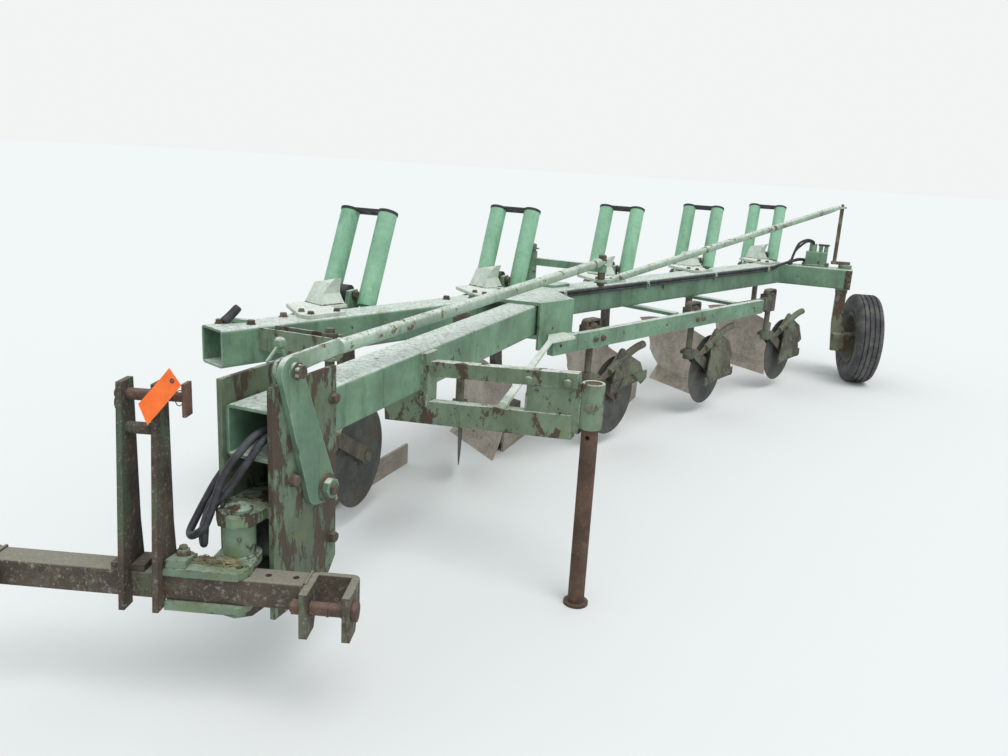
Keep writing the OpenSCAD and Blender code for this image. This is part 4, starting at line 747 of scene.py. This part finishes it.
# Short hoses that loop from the valve block over to the tail box
loops = [smooth_route(VALVE + [(60, 50 + k, 1030), (56, 50 + k, 1052 - k / 3), (10, 42 + k, 1062 - k / 2),
                               (-44, 32 + k, 1030 - k), (-70, 26 + k, 960), (-84, 22 + k, 900),
                               (-90, 20 + k, 864)]) for k in (0, 30)]
piece("valve_loops", [carried(run, 9.0, 14) for run in loops], *HOSE)
box_union = turned([(0, -2), (-15, -2), (-15, 20), (12, 22), (12, 36), (0, 36)], 24, 6)
spool_cap = turned([(0, -1), (-19, -1), (-19, 12), (16, 13), (0, 13)], 24, 6)
block_bolts = VALVE + [(x, 24 + y, 880) for x in (7, 178) for y in (8, 92)]
piece("valve_fittings", [stood_on(box_union, VALVE + [(-90, 20 + k, 866) for k in (0, 30)], UP),
                         stood_on(spool_cap, VALVE + [(118, 74, 1024), (156, 74, 1024)], UP),
                         stood_on(hex_head(18, 12), block_bolts, UP)], *RUSTY)


# ---- tail wheel
def ribbed_tyre():
    """An implement tyre: a section carried round the axle.

    Across the section the radius is the crown's, less a smooth groove for each gap between its
    five ribs, and the outer ribs are notched around the wheel. The side walls bulge out to the
    tyre's width and carry three raised rings.
    """
    half_width, half_tread, shoulder_drop, rim_radius, notches = 97.5, 84, 13, 214, 60
    w = np.linspace(-half_tread, half_tread, 71)
    radius = TYRE_RADIUS - shoulder_drop * np.clip((np.abs(w) - 58) / 26, 0, 1) ** 2
    for groove in (-52, -18, 18, 52):
        radius = radius - 11 * np.exp(-((w - groove) / 3.4) ** 4)
    wall = np.linspace(0, 1, 26)[1:]
    bulge = half_tread + (half_width - half_tread) * np.sin(wall * np.pi) ** 0.7 - 12 * wall ** 3
    down = TYRE_RADIUS - shoulder_drop - wall * (TYRE_RADIUS - shoulder_drop - rim_radius)
    for raised in (0.2, 0.5, 0.8):
        bulge = bulge + 1.1 * np.exp(-((wall - raised) / 0.02) ** 2)
    bulge = np.minimum(bulge, half_width)
    bead = np.array([[76.0, 203.0], [66.0, 200.6]])
    right = np.concatenate([np.stack([bulge, down], -1), bead])
    section = np.concatenate([np.stack([w, radius], -1), right, right[::-1] * [-1, 1], [[w[0], radius[0]]]])
    turn = np.linspace(0, 2 * np.pi, 181)[:-1]
    shoulder = np.clip((np.abs(section[:, 0]) - 60) / 18, 0, 1) * (section[:, 1] > 300)
    notch = np.clip(np.sin(turn * notches) - 0.3, 0, 1) * 5
    r = section[:, 1:] - shoulder[:, None] * notch[None]
    across = section[:, :1] * np.ones_like(r)
    return at_wheel(np.stack([WHEEL_OUT + across, r * np.cos(turn), AXLE + r * np.sin(turn)], -1))


tyre = piece("ribbed_tyre", [ribbed_tyre()], tyre_rubber, "tail_wheel", "tyre", 40)
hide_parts("tail_tyre")
around = np.arange(6) * np.pi / 3
hub_face = WHEEL_OUT + 46.0
studs = np.stack([np.full(6, hub_face), 34 * np.cos(around), AXLE + 34 * np.sin(around)], -1)
dust_cap = turned([(0, -6), (27, -6), (27, 12), (24, 18), (14, 21), (0, 22)], 24)
axle_way = swung([LEFT], WHEEL_TURN)
piece("wheel_nuts", [stood_on(hex_nut(17, 9, 9, 4), at_wheel(studs), axle_way, around),
                     stood_on(dust_cap, at_wheel([(hub_face, 0, AXLE)]), axle_way)],
      bolt_steel, "tail_wheel", "rusty_iron")
stem = smooth_route(np.array([(20, 0, 180), (34, 0, 172), (48, 0, 156)]) + [WHEEL_OUT, 0, AXLE], 4)
piece("valve_stem", [carried(at_wheel(stem), 4.0, 10)], black_enamel, "tail_wheel", "black_paint")

# ---- hitch fittings
RUSTY_HITCH = (bolt_steel, "hitch", "rusty_iron")
piece("wedge_nut", [stood_on(hex_nut(34, 20, 22, 12), on_hitch([(MAST + 88, -66, 468)]), UP, 0.3)], *RUSTY_HITCH)
full_turn = np.linspace(0, 2 * np.pi, 29)
lynch_ring = on_hitch(np.stack([MAST - 62 + 0 * full_turn, -72 + 24 * np.cos(full_turn),
                                897 + 24 * np.sin(full_turn)], -1))
pin_way = on_hitch([LEFT])
pin_washer = turned([(0, 0), (21, 0), (21, 4), (0, 4)], 24)
piece("top_pin_fittings", [carried(lynch_ring, 2.6, 8),
                           stood_on(pin_washer, on_hitch([(MAST + x, -72, 919) for x in (-58.5, 54.5)]), pin_way)],
      *RUSTY_HITCH)
sleeve_ring = turned([(0, 0), (20.2, 0), (20.2, 5), (0, 5)], 32)
ring_places = [(MAST + side * 502 + x, -133, 385) for side in (-1, 1) for x in (-44, 0, 39)]
piece("pin_sleeve_rings", [stood_on(sleeve_ring, on_hitch(ring_places), pin_way)],
      pin_steel, "hitch", "rusty_iron")

# ---- weld beads
hitch_beads = [[(216, -110, 437), (216, -34, 437)], [(216, -111, 360), (216, -111, 434)],
               [(-652, -110, 437), (-652, -34, 437)]]
hitch_welds = [weld_bead(on_hitch(ends), 10, 1 + k) for k, ends in enumerate(hitch_beads)]
piece("hitch_welds", hitch_welds, hitch_steel, "hitch", "rusty_iron", 80)
turn = np.linspace(0, 2 * np.pi, 90)
sleeve_weld = carried(on_hitch(np.stack([46 * np.cos(turn), 46 * np.sin(turn), 459 + 0 * turn], -1)),
                      5.0 * (1 + 0.12 * np.sin(turn * 40)), 8)
piece("sleeve_weld", [sleeve_weld], plate_green, "hitch", "green_paint", 80)

# Upright beads on the frame: x, y, from one height to another, and width
UPRIGHT_BEADS = [(668, 955, 674, 830, 9), (98, 923, 662, 706, 9), (98, 930, 768, 818, 9),
                 (472, 955, 650, 765, 8), (76, 922, 664, 860, 9), (76, 1008, 664, 860, 9),
                 (850, 5229, 720, 862, 10), (76, 342, 720, 862, 10), (-76, 342, 720, 862, 10)]
frame_welds = [weld_bead([(x, y, low), (x, y, high)], width, 5 + k)
               for k, (x, y, low, high, width) in enumerate(UPRIGHT_BEADS)]
for i in range(BOTTOMS):
    run = BOTTOM_STEP * i
    frame_welds += [weld_bead([on_beam(-296, run + 577, 167), on_beam(-172, run + 577, 167)], 8, 20 + i),
                    weld_bead([on_beam(-171, run + 580, 167), on_beam(-171, run + 698, 167)], 8, 30 + i)]
piece("frame_welds", frame_welds, arm_green, "frame", "green_paint", 80)
splice_beads = [weld_bead([on_beam(284, 1600, -11), on_beam(284, 1788, -11)], 9, 40),
                weld_bead([on_beam(1, 1392, 166), on_beam(1, 1690, 166)], 9, 41)]
piece("splice_welds", splice_beads, green, "frame", "green_paint", 80)

# ---- card tied to the top link pin
# Coated card: even, a little glossy, creased where it was handled
card, shader, node, where = new_finish("orange_waterproof_card")
crumple = node("TexNoise", {"Vector": where, "Scale": 30.0, "Detail": 3.0})
faded = layered(node, "#ff7a2c", [(crumple, 0.35, 0.65, 1.0, "#f56a1d")], {})
lay_on(node, shader, faded, (crumple, 0.42, 0.6), (crumple, 0.25, 0.002))
# Its corners lie at (across, up) on the hitch. It is flat but for a 5 mm curl, and 0.9 mm thick
low_left, low_right, high_left, high_right = (
    np.array(c, float)[:, None, None] for c in ((-207, 908), (-184, 854), (-122, 1008), (-91, 966)))
along_card = np.linspace(0, 1, 13)[:, None]
across_card = np.concatenate([np.linspace(0, 1, 9), np.linspace(1, 0, 9)])[None]
face_side = np.where(np.arange(18) < 9, -0.5, 0.5)[None]
lower = low_left + across_card * (low_right - low_left)
upper = high_left + across_card * (high_right - high_left)
card_x, card_z = lower + along_card * (upper - lower)
card_y = -119 + 5 * np.sin(along_card * np.pi) - 4 * across_card + face_side * 0.9
piece("orange_tag", [on_hitch(gathered(np.stack([card_x, card_y, card_z], -1)))], card, "hitch", "pale_paint", 60)
# A wire from the eyelet, behind the card and once round the pin
TIE = [(-116, -122, 974), (-116, -112, 974), (-117, -108, 955), (-118, -100, 940), (-118, -77, 938),
       (-118, -56, 928), (-118, -52, 908), (-118, -72, 897), (-118, -94, 906), (-118, -108, 930),
       (-117, -113, 956), (-116, -114, 972), (-116, -122, 972)]
eyelet = turned([(2.6, -1.6), (6.5, -1.6), (7, 0), (6.5, 1.6), (2.6, 1.6), (2.6, -1.6)], 20)
piece("tag_tie", [carried(on_hitch(smooth_route(TIE, 6)), 1.3, 6),
                  stood_on(eyelet, on_hitch([(-115.5, -119.3, 975)]), on_hitch([AHEAD]))],
      pin_steel, "hitch", "rusty_iron")

# ---- dry straw caught on the draft plate
# Bleached grass stems: fibrous, matt, from straw to brown over some 40 mm
straw, shader, node, where = new_finish("dry_grass_straw")
stems = node("TexNoise", {"Vector": where, "Scale": 26.0, "Detail": 2.0})
bleached = layered(node, "#a39a78", [(stems, 0.35, 0.65, 1.0, "#5e5742")], {})
lay_on(node, shader, bleached, (stems, 0.75, 0.95), (stems, 0.2, 0.001))
# With s from -0.5 to 0.5, a stem bows sideways by 1 - 4 s squared and lifts by 1 - 1.2 s squared
STEMS, PLATE_TOP = 90, 460.3
chance = np.random.default_rng(7)
spots = np.stack([chance.uniform(-100, 18, STEMS), chance.uniform(-88, -50, STEMS)], -1)
ways = chance.uniform(0, 2 * np.pi, STEMS)[:, None]
lengths = chance.uniform(22, 62, STEMS)[:, None]
lift = chance.uniform(0, 9, STEMS)[:, None]
s = np.linspace(-0.5, 0.5, 7)[None]
bow = chance.normal(0, 5, STEMS)[:, None] * (1 - 4 * s ** 2)
stalks = np.stack([spots[:, :1] + np.cos(ways) * lengths * s - np.sin(ways) * bow,
                   spots[:, 1:] + 0.45 * (np.sin(ways) * lengths * s + np.cos(ways) * bow),
                   PLATE_TOP + lift * (1 - 1.2 * s ** 2)], -1)
piece("caught_straw", [carried(on_hitch(stalk), 1.1, 4) for stalk in stalks], straw, "hitch", "pale_paint", 60)

# ---- stage
floor_finish, shader, *_ = new_finish("pale_floor")
for socket, value in (("Base Color", srgb("#eceeec")), ("Roughness", 0.95), ("Specular IOR Level", 0.0)):
    shader.inputs[socket].default_value = value
floor_mesh = bpy.data.meshes.new("floor")
floor_mesh.from_pydata([(-90, -90, 0), (90, -90, 0), (90, 90, 0), (-90, 90, 0)], [], [(0, 1, 2, 3)])
floor_mesh.materials.append(floor_finish)
put_in("floor", floor_mesh)

# An even overcast sky, and a paler backdrop for what looks at it straight or by a reflection
world = bpy.data.worlds.new("overcast")
bpy.context.scene.world = world
world.use_nodes = True
world.node_tree.nodes.clear()
seen = add(world, "LightPath", out="Is Camera Ray")
for ray in ("Is Glossy Ray", "Is Transmission Ray"):
    seen = add(world, "Math", {0: seen, 1: add(world, "LightPath", out=ray)}, operation="MAXIMUM")
light = add(world, "Background", {"Color": "#eef2f6", "Strength": 0.85})
backdrop = add(world, "Background", {"Color": "#f2f4f3", "Strength": 1.0})
add(world, "OutputWorld", {"Surface": add(world, "MixShader", {0: seen, 1: light, 2: backdrop})})

sun = bpy.data.lights.new("soft_sun", "SUN")
sun.energy = 1.2
sun.angle = math.radians(35)
put_in("soft_sun", sun).rotation_euler = Vector((-0.45, 0.35, -1.0)).to_track_quat("-Z", "Y").to_euler()

# ---- camera
# The photograph's own, fitted to it: turned towards -X, tilted down and rolled
YAW, PITCH, ROLL = (math.radians(angle) for angle in (21.35, 14.63, -3.27))
FOCAL_PIXELS, FRAME_PIXELS, SENSOR = 853.93, 1008, 36
lens = bpy.data.cameras.new("photo_camera")
lens.sensor_width = SENSOR
lens.lens = FOCAL_PIXELS * SENSOR / FRAME_PIXELS
lens.clip_end = 400
camera = put_in("photo_camera", lens)
camera.matrix_world = (Matrix.Translation(metres([1445, -1759, 1567])) @ Matrix.Rotation(YAW, 4, "Z")
                       @ Matrix.Rotation(math.pi / 2 - PITCH, 4, "X") @ Matrix.Rotation(-ROLL, 4, "Z"))
bpy.context.scene.camera = camera
bpy.context.scene.view_settings.view_transform = "Standard"
